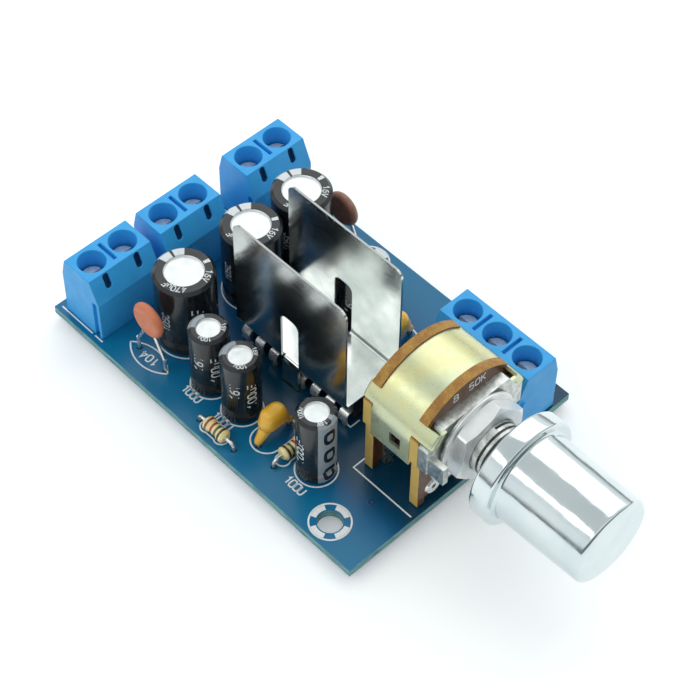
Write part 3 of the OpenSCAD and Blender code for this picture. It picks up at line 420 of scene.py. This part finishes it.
WAYS = range(1, 10)
BLOCKS = range(1, 5)
paint(BOARD, "circuit_board")
paint(SOLDER, "terminal_solder", "component_solder")
paint(HOUSING, *[f"terminal_housing_{k}" for k in BLOCKS])
paint(BRASS, *[f"clamp_frames_{k}" for k in BLOCKS])
paint(STEEL, *[f"wire_guard_{k}" for k in WAYS], "pot_washer", "pot_nut")
paint(SCREW, *[f"terminal_screw_{k}" for k in WAYS])
paint(CHIP, "chip_body")
paint(TINNED, "component_leads", "pot_terminals")
paint(PIN, "chip_pins")
paint(SINK, "heat_sink")
paint(CAN, "large_cans", "small_cans")
paint(BUNG, "can_bungs")
paint(DISC_ORANGE, "disc_capacitor_1")
paint(DISC_BROWN, "disc_capacitor_2")
paint(DIPPED, "dipped_capacitor_1", "dipped_capacitor_2")
paint(COVER, "pot_cover")
paint(CAST, "pot_front_plate")
paint(WAFER, "pot_front_wafer", "pot_rear_wafer")
paint(SHAFT, "pot_shaft")
paint(ROTOR, "pot_rotors")
paint(CHROME, "knob")

PALE = rgb(214, 220, 223)
GREY = rgb(150, 158, 164)
for k in (1, 2, 3):
    name = f"large_sleeve_{k}"
    paint(sleeve_finish(f"sleeve_large_{k}", name, 77, 29, 3.5, 9.0, 10.0, PALE), name)
for k, faces in ((1, 100), (2, 100), (3, 267), (4, 80), (5, 80)):
    name = f"small_sleeve_{k}"
    paint(sleeve_finish(f"sleeve_small_{k}", name, faces, 36, 20, 2.6, 3.6, GREY, 0.12), name)
RED, GREEN, DARK = rgb(176, 58, 42), rgb(60, 96, 60), rgb(60, 50, 40)
LACQUER_BANDS = [(-1.15, DARK), (-0.4, GREEN), (0.3, RED), (1.1, rgb(140, 60, 44))]
paint(resistor_finish("resistor_tan_1", "resistor_1", "Y", LACQUER_BANDS), "resistor_1")
paint(resistor_finish("resistor_tan_2", "resistor_2", "X", LACQUER_BANDS), "resistor_2")

soften(0.1, *[f"terminal_housing_{k}" for k in BLOCKS], merge=True)
soften(0.05, *[f"terminal_screw_{k}" for k in WAYS], "chip_body")
soften(0.06, "pot_front_plate")
dip(0.1, "dipped_capacitor_1", "dipped_capacitor_2", "disc_capacitor_1", "disc_capacitor_2")


# Added pieces

def piece(name, bm, finish, body, node=None, smooth=None):
    """Makes a piece of the object from a bmesh, on a body and with one finish. It stands for a CAD node if one is
    named, and is shaded smooth across edges that turn less than smooth degrees."""
    mesh = bpy.data.meshes.new(name)
    bmesh.ops.recalc_face_normals(bm, faces=bm.faces)
    if smooth:
        for face in bm.faces:
            face.smooth = True
        for edge in bm.edges:
            edge.smooth = edge.calc_face_angle(0) < math.radians(smooth)
    bm.to_mesh(mesh)
    bm.free()
    made = bpy.data.objects.new(name, mesh)
    bpy.context.scene.collection.objects.link(made)
    mesh.materials.append(finish.mat)
    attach(made, body)
    if node:
        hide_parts(node)
    return made


def arc(cx, cy, r, start=0.0, end=360.0, steps=48):
    """Points on an arc, in degrees; a whole turn leaves out the point that closes it."""
    whole = abs(end - start) >= 360
    count = steps if whole else steps + 1
    turns = [math.radians(start + (end - start) * i / steps) for i in range(count)]
    return [(cx + r * math.cos(t), cy + r * math.sin(t)) for t in turns]


def bridge(bm, a, b):
    """Faces all the way round between two rings of as many points."""
    count = len(a)
    for j in range(count):
        k = (j + 1) % count
        bm.faces.new((a[j], a[k], b[k], b[j]))


# Print lies a little in its surface and stands a little proud of it.
INK_LOW, INK_HIGH = -0.01, 0.025


def line(bm, points, width=0.2, closed=False, place=at):
    """A printed line along flat points, as a thin closed slab. place puts a flat point and a height on a
    surface."""
    flat = [Vector(p) for p in points]
    count = len(flat)
    rows = []
    for i, p in enumerate(flat):
        before = flat[i - 1] if i or closed else p
        after = flat[(i + 1) % count] if i < count - 1 or closed else p
        into = (p - before).normalized() if (p - before).length else (after - p).normalized()
        out = (after - p).normalized() if (after - p).length else into
        normal = Vector((-(into + out).y, (into + out).x)).normalized()
        reach = width / 2 / max(0.4, normal.dot(Vector((-out.y, out.x))))
        left, right = p + normal * reach, p - normal * reach
        corners = ((left, INK_LOW), (right, INK_LOW), (right, INK_HIGH), (left, INK_HIGH))
        rows.append([bm.verts.new(place(q.x, q.y, h)) for q, h in corners])
    for i in range(count if closed else count - 1):
        bridge(bm, rows[i], rows[(i + 1) % count])
    if not closed:
        bm.faces.new(rows[0])
        bm.faces.new(rows[-1])


# A plain stroke alphabet: each stroke's points on a field 0.6 wide and 1 high.
STROKES = {
    "0": [[(0, 0.5), (0, 0.8), (0.12, 1), (0.48, 1), (0.6, 0.8), (0.6, 0.2), (0.48, 0), (0.12, 0), (0, 0.2),
           (0, 0.5)]],
    "1": [[(0.1, 0.78), (0.34, 1), (0.34, 0)]],
    "4": [[(0.46, 0), (0.46, 1), (0, 0.28), (0.64, 0.28)]],
    "5": [[(0.56, 1), (0.06, 1), (0, 0.55), (0.4, 0.6), (0.6, 0.42), (0.6, 0.16), (0.42, 0), (0, 0.04)]],
    "6": [[(0.5, 1), (0.1, 0.75), (0, 0.4), (0, 0.15), (0.14, 0), (0.46, 0), (0.6, 0.16), (0.6, 0.4), (0.46, 0.55),
           (0.12, 0.55), (0, 0.4)]],
    "7": [[(0, 1), (0.6, 1), (0.2, 0)]],
    "B": [[(0, 0), (0, 1), (0.4, 1), (0.54, 0.86), (0.54, 0.66), (0.4, 0.53), (0, 0.53)],
          [(0.4, 0.53), (0.6, 0.38), (0.6, 0.14), (0.44, 0), (0, 0)]],
    "C": [[(0.58, 0.82), (0.44, 1), (0.14, 1), (0, 0.8), (0, 0.2), (0.14, 0), (0.44, 0), (0.58, 0.18)]],
    "F": [[(0, 0), (0, 1), (0.56, 1)], [(0, 0.53), (0.44, 0.53)]],
    "K": [[(0, 0), (0, 1)], [(0.56, 1), (0.02, 0.42)], [(0.2, 0.6), (0.6, 0)]],
    "U": [[(0, 1), (0, 0.2), (0.14, 0), (0.46, 0), (0.6, 0.2), (0.6, 1)]],
    "V": [[(0, 1), (0.3, 0), (0.6, 1)]],
    "u": [[(0, 0.7), (0, 0.16), (0.12, 0), (0.38, 0), (0.54, 0.16), (0.54, 0.7)]],
}


def write(bm, text, height, place, width=0.2, turn=0.0, x=0.0, y=0.0, pitch=0.86):
    """Lettering centred on a flat point and turned about it, in degrees."""
    spin = Matrix.Rotation(math.radians(turn), 2)
    start = -(pitch * (len(text) - 1) + 0.6) / 2
    for i, letter in enumerate(text):
        for stroke in STROKES[letter]:
            flat = [Vector((start + pitch * i + u, v - 0.5)) * height for u, v in stroke]
            line(bm, [spin @ p + Vector((x, y)) for p in flat], width, place=place)


def stadium(x, y, r, half):
    """Points round a slot shape that lies along X."""
    return arc(x + half, y, r, -90, 90, 20) + arc(x - half, y, r, 90, 270, 20)


def dog_bone(x, y, turn):
    """Points round a resistor's printed outline: two round ends and a narrower middle."""
    end, r, waist = 1.25, 0.95, 0.78
    lip = math.degrees(math.asin(waist / r))
    outline = arc(end, 0, r, lip - 180, 180 - lip, 24) + arc(-end, 0, r, lip, 360 - lip, 24)
    spin = Matrix.Rotation(math.radians(turn), 2)
    return [spin @ Vector(p) + Vector((x, y)) for p in outline]


def legend():
    """The board's white print: outlines under the parts, plain values, and the mounting holes' rings."""
    bm = bmesh.new()
    for name in [f"large_sleeve_{k}" for k in (1, 2, 3)] + [f"small_sleeve_{k}" for k in (1, 2, 3, 4, 5)]:
        c, size = spot(name)
        line(bm, arc(c.x, c.y, size.x + 0.14), closed=True)
    for k, value_x, back in ((1, -15.37, 0.3), (2, -15.37, 0.3), (3, -15.4, 0.0)):
        c = spot(f"small_sleeve_{k}")[0]
        write(bm, "100U", 1.1, at, turn=-90, x=value_x, y=c.y + back, pitch=0.7)
    bow, bow_half, bow_y = 5.07, 45.2, 12.8
    for left, right in ((-17.06, -14.1), (14.4, 17.5)):
        line(bm, arc(left + bow, bow_y, bow, 180 - bow_half, 180 + bow_half))
        line(bm, arc(right - bow, bow_y, bow, -bow_half, bow_half))
    write(bm, "104", 1.1, at, turn=97, x=-15.6, y=12.65)
    for k in (1, 2):
        c = spot(f"dipped_capacitor_{k}")[0]
        line(bm, stadium(c.x, c.y, 2.1, 1.1), closed=True)
    c = spot("resistor_1")[0]
    line(bm, dog_bone(c.x + 0.05, c.y + 0.45, 90), closed=True)
    c = spot("resistor_2")[0]
    line(bm, dog_bone(c.x - 0.4, c.y, 0), closed=True)
    chip = spot("chip_body")[0]
    wide, long = 3.65, 9.85
    for sx in (-1, 1):
        for sy in (-1, 1):
            corner = [(wide, long - 1.9), (wide, long), (wide - 1.6, long)]
            line(bm, [(chip.x + sx * x, chip.y + sy * y) for x, y in corner])
    pot_left, pot_right, pot_rear, pot_front = -8.4, 9.2, -17.1, -27.05
    line(bm, [(pot_left, pot_front), (pot_left, pot_rear), (pot_right, pot_rear), (pot_right, pot_rear - 1.2)])
    for k in (1, 2, 3):
        c, size = spot(f"terminal_housing_{k}")
        x0, x1 = c.x - size.x - 0.25, c.x + size.x + 0.25
        line(bm, [(x0, 26.8), (x0, 20.7)])
        line(bm, [(x0, 20.2), (x0, 18.75)])
        line(bm, [(x1, 26.8), (x1, 18.75)])
    c, size = spot("terminal_housing_4")
    x0, x1, y1 = c.x - size.x - 0.3, c.x + size.x + 0.3, c.y + size.y + 0.4
    line(bm, [(x1, y1), (x0, y1), (x0, y1 - 1.2)])
    for hx, hy in HOLES:
        line(bm, arc(hx, hy, 2.6), 0.22, closed=True)
        for quarter in (0, 90, 180, 270):
            line(bm, arc(hx, hy, 2.15, quarter - 27, quarter + 27, 12), 0.75)
    return piece("silkscreen", bm, INK, "board")


def on_rim(node, faces, r):
    """Print on a can's folded rim, with the tops of the letters outward."""
    c, size = spot(node)

    def place(u, v, h):
        t = math.radians(faces) - u / r
        return at(c.x + (r + v) * math.cos(t), c.y + (r + v) * math.sin(t), c.z + size.z + h)
    return place


def on_side(node, faces, z):
    """Print round a can's side, upright at the height z above the board."""
    c, size = spot(node)

    def place(u, v, h):
        t = math.radians(faces) + u / size.x
        return at(c.x + (size.x + h) * math.cos(t), c.y + (size.x + h) * math.sin(t), z + v)
    return place


def on_front(node, x, z):
    """Print on a node's flat face towards the knob."""
    c, size = spot(node)
    return lambda u, v, h: at(x + u, c.y - size.y - h, z + v)


def sleeve_print():
    """Pale values on the capacitors' sleeves, round the rims and down the sides."""
    bm = bmesh.new()
    for k, turn in ((1, 0), (2, -12), (3, 10)):
        node = f"large_sleeve_{k}"
        write(bm, "470uF", 0.78, on_rim(node, 205 + turn, 3.12), 0.13)
        write(bm, "16V", 0.78, on_rim(node, 300 + turn, 3.12), 0.13)
        line(bm, [(-0.25, 0), (0.25, 0)], 0.85, place=on_rim(node, -15 + turn, 3.12))
        write(bm, "470uF", 1.5, on_side(node, 252 + turn, 6.2), 0.2, turn=90)
        write(bm, "105C", 1.0, on_side(node, 190 + turn, 6.2), 0.15, turn=90)
    for k, turn in ((1, 0), (2, 14), (3, -70), (4, -8), (5, 6)):
        node = f"small_sleeve_{k}"
        c = spot(node)[0]
        write(bm, "100u", 0.5, on_rim(node, 215 + turn, 1.92), 0.1)
        write(bm, "16V", 0.5, on_rim(node, 318 + turn, 1.92), 0.1)
        write(bm, "100uF", 1.15, on_side(node, 246 + turn, c.z), 0.16, turn=90)
        write(bm, "16V", 1.15, on_side(node, 196 + turn, c.z + 1), 0.16, turn=90)
    return piece("sleeve_print", bm, SLEEVE_INK, "board")


def wafer_print():
    """The control's plain value on its front wafer."""
    bm = bmesh.new()
    write(bm, "B", 1.15, on_front("pot_front_wafer", -1.6, 17.2), 0.16)
    write(bm, "50K", 1.15, on_front("pot_front_wafer", 1.9, 17.2), 0.16)
    return piece("wafer_print", bm, INK, "board")


def rounded(corners, steps=7):
    """Points along a profile whose corners, each with its own radius, are rounded."""
    points = []
    for i, (x, y, r) in enumerate(corners):
        p = Vector((x, y))
        if not r:
            points.append(p)
            continue
        d1 = (Vector(corners[i - 1][:2]) - p).normalized()
        d2 = (Vector(corners[(i + 1) % len(corners)][:2]) - p).normalized()
        half = d1.angle(d2) / 2
        centre = p + (d1 + d2).normalized() * r / math.sin(half)
        start, end = p + d1 * r / math.tan(half) - centre, p + d2 * r / math.tan(half) - centre
        points += [centre + start.slerp(end, j / steps) * r for j in range(steps + 1)]
    return points


def lathe(profile, steps=96):
    """A bmesh turned about the control's axis. profile lists radius and place along Y, all the way round."""
    axis = spot("knob")[0]
    bm = bmesh.new()
    rings = []
    for i in range(steps):
        t = 2 * math.pi * i / steps
        rings.append([bm.verts.new(at(axis.x + r * math.cos(t), y, axis.z + r * math.sin(t)))
                      for r, y in profile])
    for a, b in zip(rings, rings[1:] + rings[:1]):
        bridge(bm, a, b)
    bmesh.ops.remove_doubles(bm, verts=bm.verts, dist=0.0001 * MM)
    return bm


def knob():
    """The chromed knob: a flange with soft edges, a cove into the barrel, and a rolled front edge."""
    c, size = spot("knob")
    rear, front = c.y + size.y, c.y - size.y
    flange, barrel, bore = size.x, 5.95, 3.0
    step = rear - 2.7
    outline = rounded([
        (bore, rear, 0), (flange, rear, 0.4), (flange, step, 0.35), (barrel + 0.1, step, 0.4),
        (barrel - 0.12, front, 0.55), (0, front, 0), (0, rear - 12, 0), (bore, rear - 12, 0)])
    piece("knob_shell", lathe(outline), CHROME, "volume_knob", "knob", smooth=40)


def washer():
    """The washer, a round-edged ring on the plate's low boss."""
    c, size = spot("pot_washer")
    rear, seat, front = c.y + size.y, c.y + 0.02, c.y - size.y
    hole, rim, edge = 3.6, 5.95, 0.16
    ring = rounded([(hole, seat, 0), (rim, seat, edge), (rim, front, edge), (hole, front, 0)])
    piece("spring_washer", lathe(ring), STEEL, "board", "pot_washer", smooth=40)
    boss = rounded([(3.55, rear, 0), (5.5, rear, 0), (5.4, seat, 0.1), (3.55, seat, 0)])
    piece("plate_boss", lathe(boss), CAST, "board", smooth=40)


# The turn of the nut's first corner about the control's axis, in degrees.
NUT_CORNER = 17


def nut():
    """The hexagon nut, its corners turned off at both faces."""
    c, size = spot("pot_nut")
    across, bore, lead_in = 5.0, 3.55, 0.25
    rear, front = c.y + size.y, c.y - size.y
    steps = 120
    bm = bmesh.new()
    rows = []
    for i in range(steps):
        t = 360 * i / steps
        out = across / math.cos(math.radians((t - NUT_CORNER) % 60 - 30))
        face = min(out, across + 0.12)
        cut = 0.55 * (out - face)
        profile = ((bore, rear), (face, rear), (out, rear - cut), (out, front + cut), (face, front),
                   (bore + lead_in, front), (bore, front + lead_in))
        spin = math.radians(t)
        rows.append([bm.verts.new(at(c.x + r * math.cos(spin), y, c.z + r * math.sin(spin)))
                     for r, y in profile])
    for a, b in zip(rows, rows[1:] + rows[:1]):
        bridge(bm, a, b)
    bmesh.ops.remove_doubles(bm, verts=bm.verts, dist=0.0001 * MM)
    piece("hex_nut", bm, STEEL, "board", "pot_nut", smooth=10)


# The control's outline seen from the knob, from its axis: a shallow arch between upright sides.
ARCH_X, ARCH_Z, ARCH_R = 0.1, -1.6, 9.6
SIDE, ROLL = 8.0, 4.0
EAR_LOW, EAR_HIGH = 3.4, 5.1


def arch_x(z, r):
    """Half width of the arch at a height above the axis."""
    return math.sqrt(r * r - (z - ARCH_Z) ** 2)


def sheet_x(z, way, r):
    """Place of the cover's side at a height above the axis: upright at the foot, then rolled into the arch."""
    flat = SIDE - way * ARCH_X - ROLL
    lift = math.sqrt((r - ROLL) ** 2 - flat ** 2)
    low, high = ARCH_Z + lift, ARCH_Z + lift * r / (r - ROLL)
    if z <= low:
        return way * SIDE
    if z >= high:
        return ARCH_X + way * arch_x(z, r)
    return way * (SIDE - ROLL + math.sqrt(ROLL ** 2 - (z - low) ** 2))


def slab(outline, y0, y1):
    """A bmesh of a flat outline, in X and Z from the control's axis, between two places along Y."""
    axis = spot("knob")[0]
    bm = bmesh.new()
    rows = [[bm.verts.new(at(axis.x + x, y, axis.z + z)) for x, z in outline] for y in (y0, y1)]
    bridge(bm, rows[0], rows[1])
    bm.faces.new(rows[0])
    bm.faces.new(rows[1])
    return bm


def wafer(node):
    """One of the control's two laminate wafers: arched over the cover, notched for its ears, with two legs."""
    c, size = spot(node)
    axis = spot("knob")[0]
    foot, belly = c.z - size.z - axis.z, -9.2
    lug, leg, leg_in, low = 7.95, 7.45, 6.25, -1.3
    notch_low, notch_high = EAR_LOW - 0.15, EAR_HIGH + 0.15
    notch_foot, notch_head = 7.2, 5.7
    side = [(leg_in, belly), (leg_in, foot), (leg, foot), (leg, low), (lug, low), (lug, notch_low),
            (notch_foot, notch_low), (notch_head, notch_high)]
    lip = math.degrees(math.asin((notch_high - ARCH_Z) / ARCH_R))
    top = arc(ARCH_X, ARCH_Z, ARCH_R, lip, 180 - lip, 40)
    outline = side + top + [(-x, z) for x, z in reversed(side)]
    bm = slab(outline, c.y - size.y, c.y + size.y)
    made = piece(node.replace("pot_", "laminate_"), bm, WAFER, "board", node, smooth=30)
    edge = made.modifiers.new("edge", "BEVEL")
    edge.width, edge.segments, edge.limit_method, edge.angle_limit = 0.07 * MM, 2, "ANGLE", math.radians(40)
    edge.harden_normals = True


def cover():
    """The folded sheet cover: one arched sheet with a window in each side and an ear at each corner that is
    bent over the plate in front or the wafer behind."""
    c, size = spot("pot_cover")
    axis = spot("knob")[0]
    front_wafer, front_size = spot("pot_front_wafer")
    rear_wafer, rear_size = spot("pot_rear_wafer")
    front, rear = front_wafer.y + front_size.y, rear_wafer.y - rear_size.y
    first, last = c.y - size.y, c.y + size.y
    thick, sheet_r = 0.4, ARCH_R - 0.25
    middle = (front + rear) / 2 - 0.8
    rise = [-2.2, -0.8, 0.4, 1.2, 1.9, 2.4, 2.9, EAR_LOW, 3.8, 4.2, 4.65, EAR_HIGH]
    lip = math.degrees(math.asin((EAR_HIGH - ARCH_Z) / sheet_r))
    right = [(sheet_x(z, 1, sheet_r), z) for z in rise]
    top = arc(ARCH_X, ARCH_Z, sheet_r, lip, 180 - lip, 36)
    left = [(sheet_x(z, -1, sheet_r), z) for z in reversed(rise)]
    profile = right + top[1:-1] + left
    ys = [front, middle - 0.9, middle + 0.9, rear]
    bm = bmesh.new()
    grid = [[bm.verts.new(at(axis.x + x, y, axis.z + z)) for x, z in profile] for y in ys]
    count = len(profile)
    ears = [i for i in range(count - 1) if EAR_LOW <= min(profile[i][1], profile[i + 1][1])
            and max(profile[i][1], profile[i + 1][1]) <= EAR_HIGH + 0.001 and abs(profile[i][0]) > 6]
    for j in range(len(ys) - 1):
        for i in range(count - 1):
            low, high = sorted((profile[i][1], profile[i + 1][1]))
            window = j == 1 and low >= -0.81 and high <= 1.21 and abs(profile[i][0]) > 7.9
            if not window:
                bm.faces.new((grid[j][i], grid[j][i + 1], grid[j + 1][i + 1], grid[j + 1][i]))
    bend = 0.4
    for row, end, way in ((grid[0], first, -1), (grid[-1], last, 1)):
        reach = abs(end - row[0].co.y / MM + TOP.y / MM) - bend
        path = [(reach, 0)] + [(reach + bend * math.sin(math.radians(a)), bend - bend * math.cos(math.radians(a)))
                               for a in (30, 60, 90)] + [(reach + bend, bend + 0.75)]
        edge = sorted({i for k in ears for i in (k, k + 1)})
        rows = {}
        for i in edge:
            inward = -1 if profile[i][0] > 0 else 1
            steps = [bm.verts.new(row[i].co + Vector((inward * across, way * along, 0)) * MM)
                     for along, across in path]
            rows[i] = [row[i]] + steps
        for k in ears:
            for a0, a1, b0, b1 in zip(rows[k], rows[k][1:], rows[k + 1], rows[k + 1][1:]):
                bm.faces.new((a0, a1, b1, b0))
    made = piece("sheet_cover", bm, COVER, "board", "pot_cover", smooth=35)
    sheet = made.modifiers.new("sheet", "SOLIDIFY")
    sheet.thickness, sheet.offset = thick * MM, -1
    edge = made.modifiers.new("edge", "BEVEL")
    edge.width, edge.segments, edge.limit_method, edge.angle_limit = 0.06 * MM, 2, "ANGLE", math.radians(50)
    edge.harden_normals = True


def pins():
    """The chip's pins: each a wide shoulder bent down beside the body, drawn in to a narrow tip in the board."""
    c, size = spot("chip_pins")
    count, pitch, half_t = 8, 2.54, 0.125
    level, foot = c.z + size.z - half_t, c.z - size.z
    row, root, out, bend = 3.81, 3.1, 4.05, 0.7
    wide, tip = 0.7, 0.23
    path = [(root, level, wide), (out - bend, level, wide)]
    for turn in (22, 45, 68, 90):
        t = math.radians(turn)
        path.append((out - bend + bend * math.sin(t), level - bend + bend * math.cos(t), wide))
    path += [(out, 0.95, wide), (row + 0.1, 0.58, wide), (row + 0.06, 0.5, tip), (row, 0.25, tip), (row, foot, tip)]
    bm = bmesh.new()
    for way in (-1, 1):
        for i in range(count):
            y = c.y + (i - (count - 1) / 2) * pitch
            rings = []
            for k, (x, z, half) in enumerate(path):
                before, after = path[max(k - 1, 0)], path[min(k + 1, len(path) - 1)]
                along = Vector((after[0] - before[0], after[1] - before[1])).normalized() * half_t
                rings.append([bm.verts.new(at(c.x + way * (x + e * along.y), y + h, z - e * along.x))
                              for e, h in ((1, -half), (1, half), (-1, half), (-1, -half))])
            for a, b in zip(rings, rings[1:]):
                bridge(bm, a, b)
            bm.faces.new(rings[0])
            bm.faces.new(rings[-1])
    piece("bent_pins", bm, PIN, "board", "chip_pins", smooth=35)


def bush_thread():
    """The fine thread on the control's bush, in front of its nut: one ridge wound along the bush."""
    nut, nut_size = spot("pot_nut")
    plate, plate_size = spot("pot_front_plate")
    first, last = plate.y - plate_size.y + 0.25, nut.y - nut_size.y - 0.3
    root, crest, half, pitch = 3.42, 3.62, 0.27, 0.75
    steps = 40
    bm = bmesh.new()
    rows = []
    for i in range(int((last - first) / pitch * steps) + 1):
        t = 2 * math.pi * i / steps
        y = first + pitch * i / steps
        profile = ((root, -half), (crest, -0.05), (crest, 0.05), (root, half))
        rows.append([bm.verts.new(at(nut.x + r * math.cos(t), y + dy, nut.z + r * math.sin(t)))
                     for r, dy in profile])
    for a, b in zip(rows, rows[1:]):
        bridge(bm, a, b)
    bm.faces.new(rows[0])
    bm.faces.new(rows[-1])
    return piece("bush_thread", bm, THREAD, "board", smooth=25)


legend()
sleeve_print()
wafer_print()
bush_thread()
knob()
washer()
nut()
wafer("pot_front_wafer")
wafer("pot_rear_wafer")
cover()
pins()


# Camera, floor and light

CAMERA_AZ, CAMERA_EL, CAMERA_ROLL = -44.54, 51.94, 1.07
CAMERA_DISTANCE = 265.16
CAMERA_TARGET = (3.81, -3.71, 0.0)
CAMERA_LENS, SENSOR = 107.40, 36.0
DIM_SIDE = (-0.35, -0.94, 0.0)


def camera():
    """The photograph's camera: turned about the board, raised, and rolled a little."""
    a, e, roll = (math.radians(v) for v in (CAMERA_AZ, CAMERA_EL, CAMERA_ROLL))
    back = Vector((math.sin(a) * math.cos(e), -math.cos(a) * math.cos(e), math.sin(e)))
    level = Vector((math.cos(a), math.sin(a), 0))
    rise = back.cross(level)
    right = math.cos(roll) * level + math.sin(roll) * rise
    up = back.cross(right)
    data = bpy.data.cameras.new("camera")
    data.lens, data.sensor_width = CAMERA_LENS, SENSOR
    data.clip_start, data.clip_end = 0.01, 20
    made = bpy.data.objects.new("camera", data)
    turn = Matrix((right, up, back)).transposed().to_4x4()
    made.matrix_world = Matrix.Translation(at(*CAMERA_TARGET) + back * CAMERA_DISTANCE * MM) @ turn
    bpy.context.scene.collection.objects.link(made)
    bpy.context.scene.camera = made


def floor():
    """A plain white floor that the board stands on."""
    reach = 3.0
    bm = bmesh.new()
    corners = [(-reach, -reach), (reach, -reach), (reach, reach), (-reach, reach)]
    bm.faces.new([bm.verts.new((x, y, CAD_BOX[0].z)) for x, y in corners])
    mesh = bpy.data.meshes.new("floor")
    bm.to_mesh(mesh)
    bm.free()
    made = bpy.data.objects.new("floor", mesh)
    bpy.context.scene.collection.objects.link(made)
    paper = Finish("floor_paper", rgb(248, 250, 250), 0.8, Emission_Color=(1.0, 1.0, 1.0, 1.0))
    seen = paper.node("LightPath", {})
    direct = paper.math("MAXIMUM", seen.outputs["Is Camera Ray"], seen.outputs["Is Glossy Ray"])
    direct = paper.math("MAXIMUM", direct, seen.outputs["Is Transmission Ray"])
    paper.set("Emission Strength", paper.math("MULTIPLY", direct, 0.22))
    paper.bump(paper.noise(30.0), 0.02)
    mesh.materials.append(paper.mat)


def softbox(name, direction, distance, size, share):
    """A lamp that faces the board, size wide and high. share is the part of full light that it gives a
    flat top."""
    toward = Vector(direction).normalized()
    data = bpy.data.lights.new(name, "AREA")
    data.shape = "RECTANGLE"
    data.size, data.size_y = size
    data.energy = share * math.pi ** 2 * distance ** 2 / toward.z
    made = bpy.data.objects.new(name, data)
    made.location = at(0, 0) + toward * distance
    made.rotation_mode = "QUATERNION"
    made.rotation_quaternion = toward.to_track_quat("Z", "Y")
    bpy.context.scene.collection.objects.link(made)


def sky():
    """Even studio light: a dim line at the horizon that rises behind the camera, pale walls, and a greyer
    roof."""
    world = bpy.data.worlds.new("studio")
    world.use_nodes = True
    nodes, links = world.node_tree.nodes, world.node_tree.links
    where = nodes.new("ShaderNodeTexCoord").outputs["Generated"]
    split = nodes.new("ShaderNodeSeparateXYZ")
    links.new(where, split.inputs[0])
    aside = nodes.new("ShaderNodeVectorMath")
    aside.operation = "DOT_PRODUCT"
    links.new(where, aside.inputs[0])
    aside.inputs[1].default_value = DIM_SIDE
    drop = nodes.new("ShaderNodeMapRange")
    drop.interpolation_type = "SMOOTHSTEP"
    links.new(aside.outputs["Value"], drop.inputs["Value"])
    drop.inputs["From Min"].default_value, drop.inputs["From Max"].default_value = 0.05, 0.85
    drop.inputs["To Max"].default_value = 0.48
    height = nodes.new("ShaderNodeMath")
    height.operation = "SUBTRACT"
    links.new(split.outputs["Z"], height.inputs[0])
    links.new(drop.outputs[0], height.inputs[1])
    tone = nodes.new("ShaderNodeValToRGB")
    links.new(height.outputs[0], tone.inputs[0])
    stops = tone.color_ramp.elements
    levels = ((0.0, 0.22), (0.07, 0.35), (0.2, 0.98), (0.45, 0.98), (0.75, 0.72), (1.0, 0.7))
    while len(stops) < len(levels):
        stops.new(0.5)
    for stop, (place, level) in zip(stops, levels):
        stop.position = place
        stop.color = (level * 0.96, level, level * 1.01, 1)
    links.new(tone.outputs["Color"], nodes["Background"].inputs["Color"])
    bpy.context.scene.world = world


camera()
floor()
sky()
softbox("key", (-0.62, 0.18, 0.76), 0.55, (0.5, 0.11), 0.08)
softbox("back", (0.58, 0.25, 0.77), 0.6, (0.6, 0.56), 0.24)
bpy.context.scene.view_settings.view_transform = "Standard"
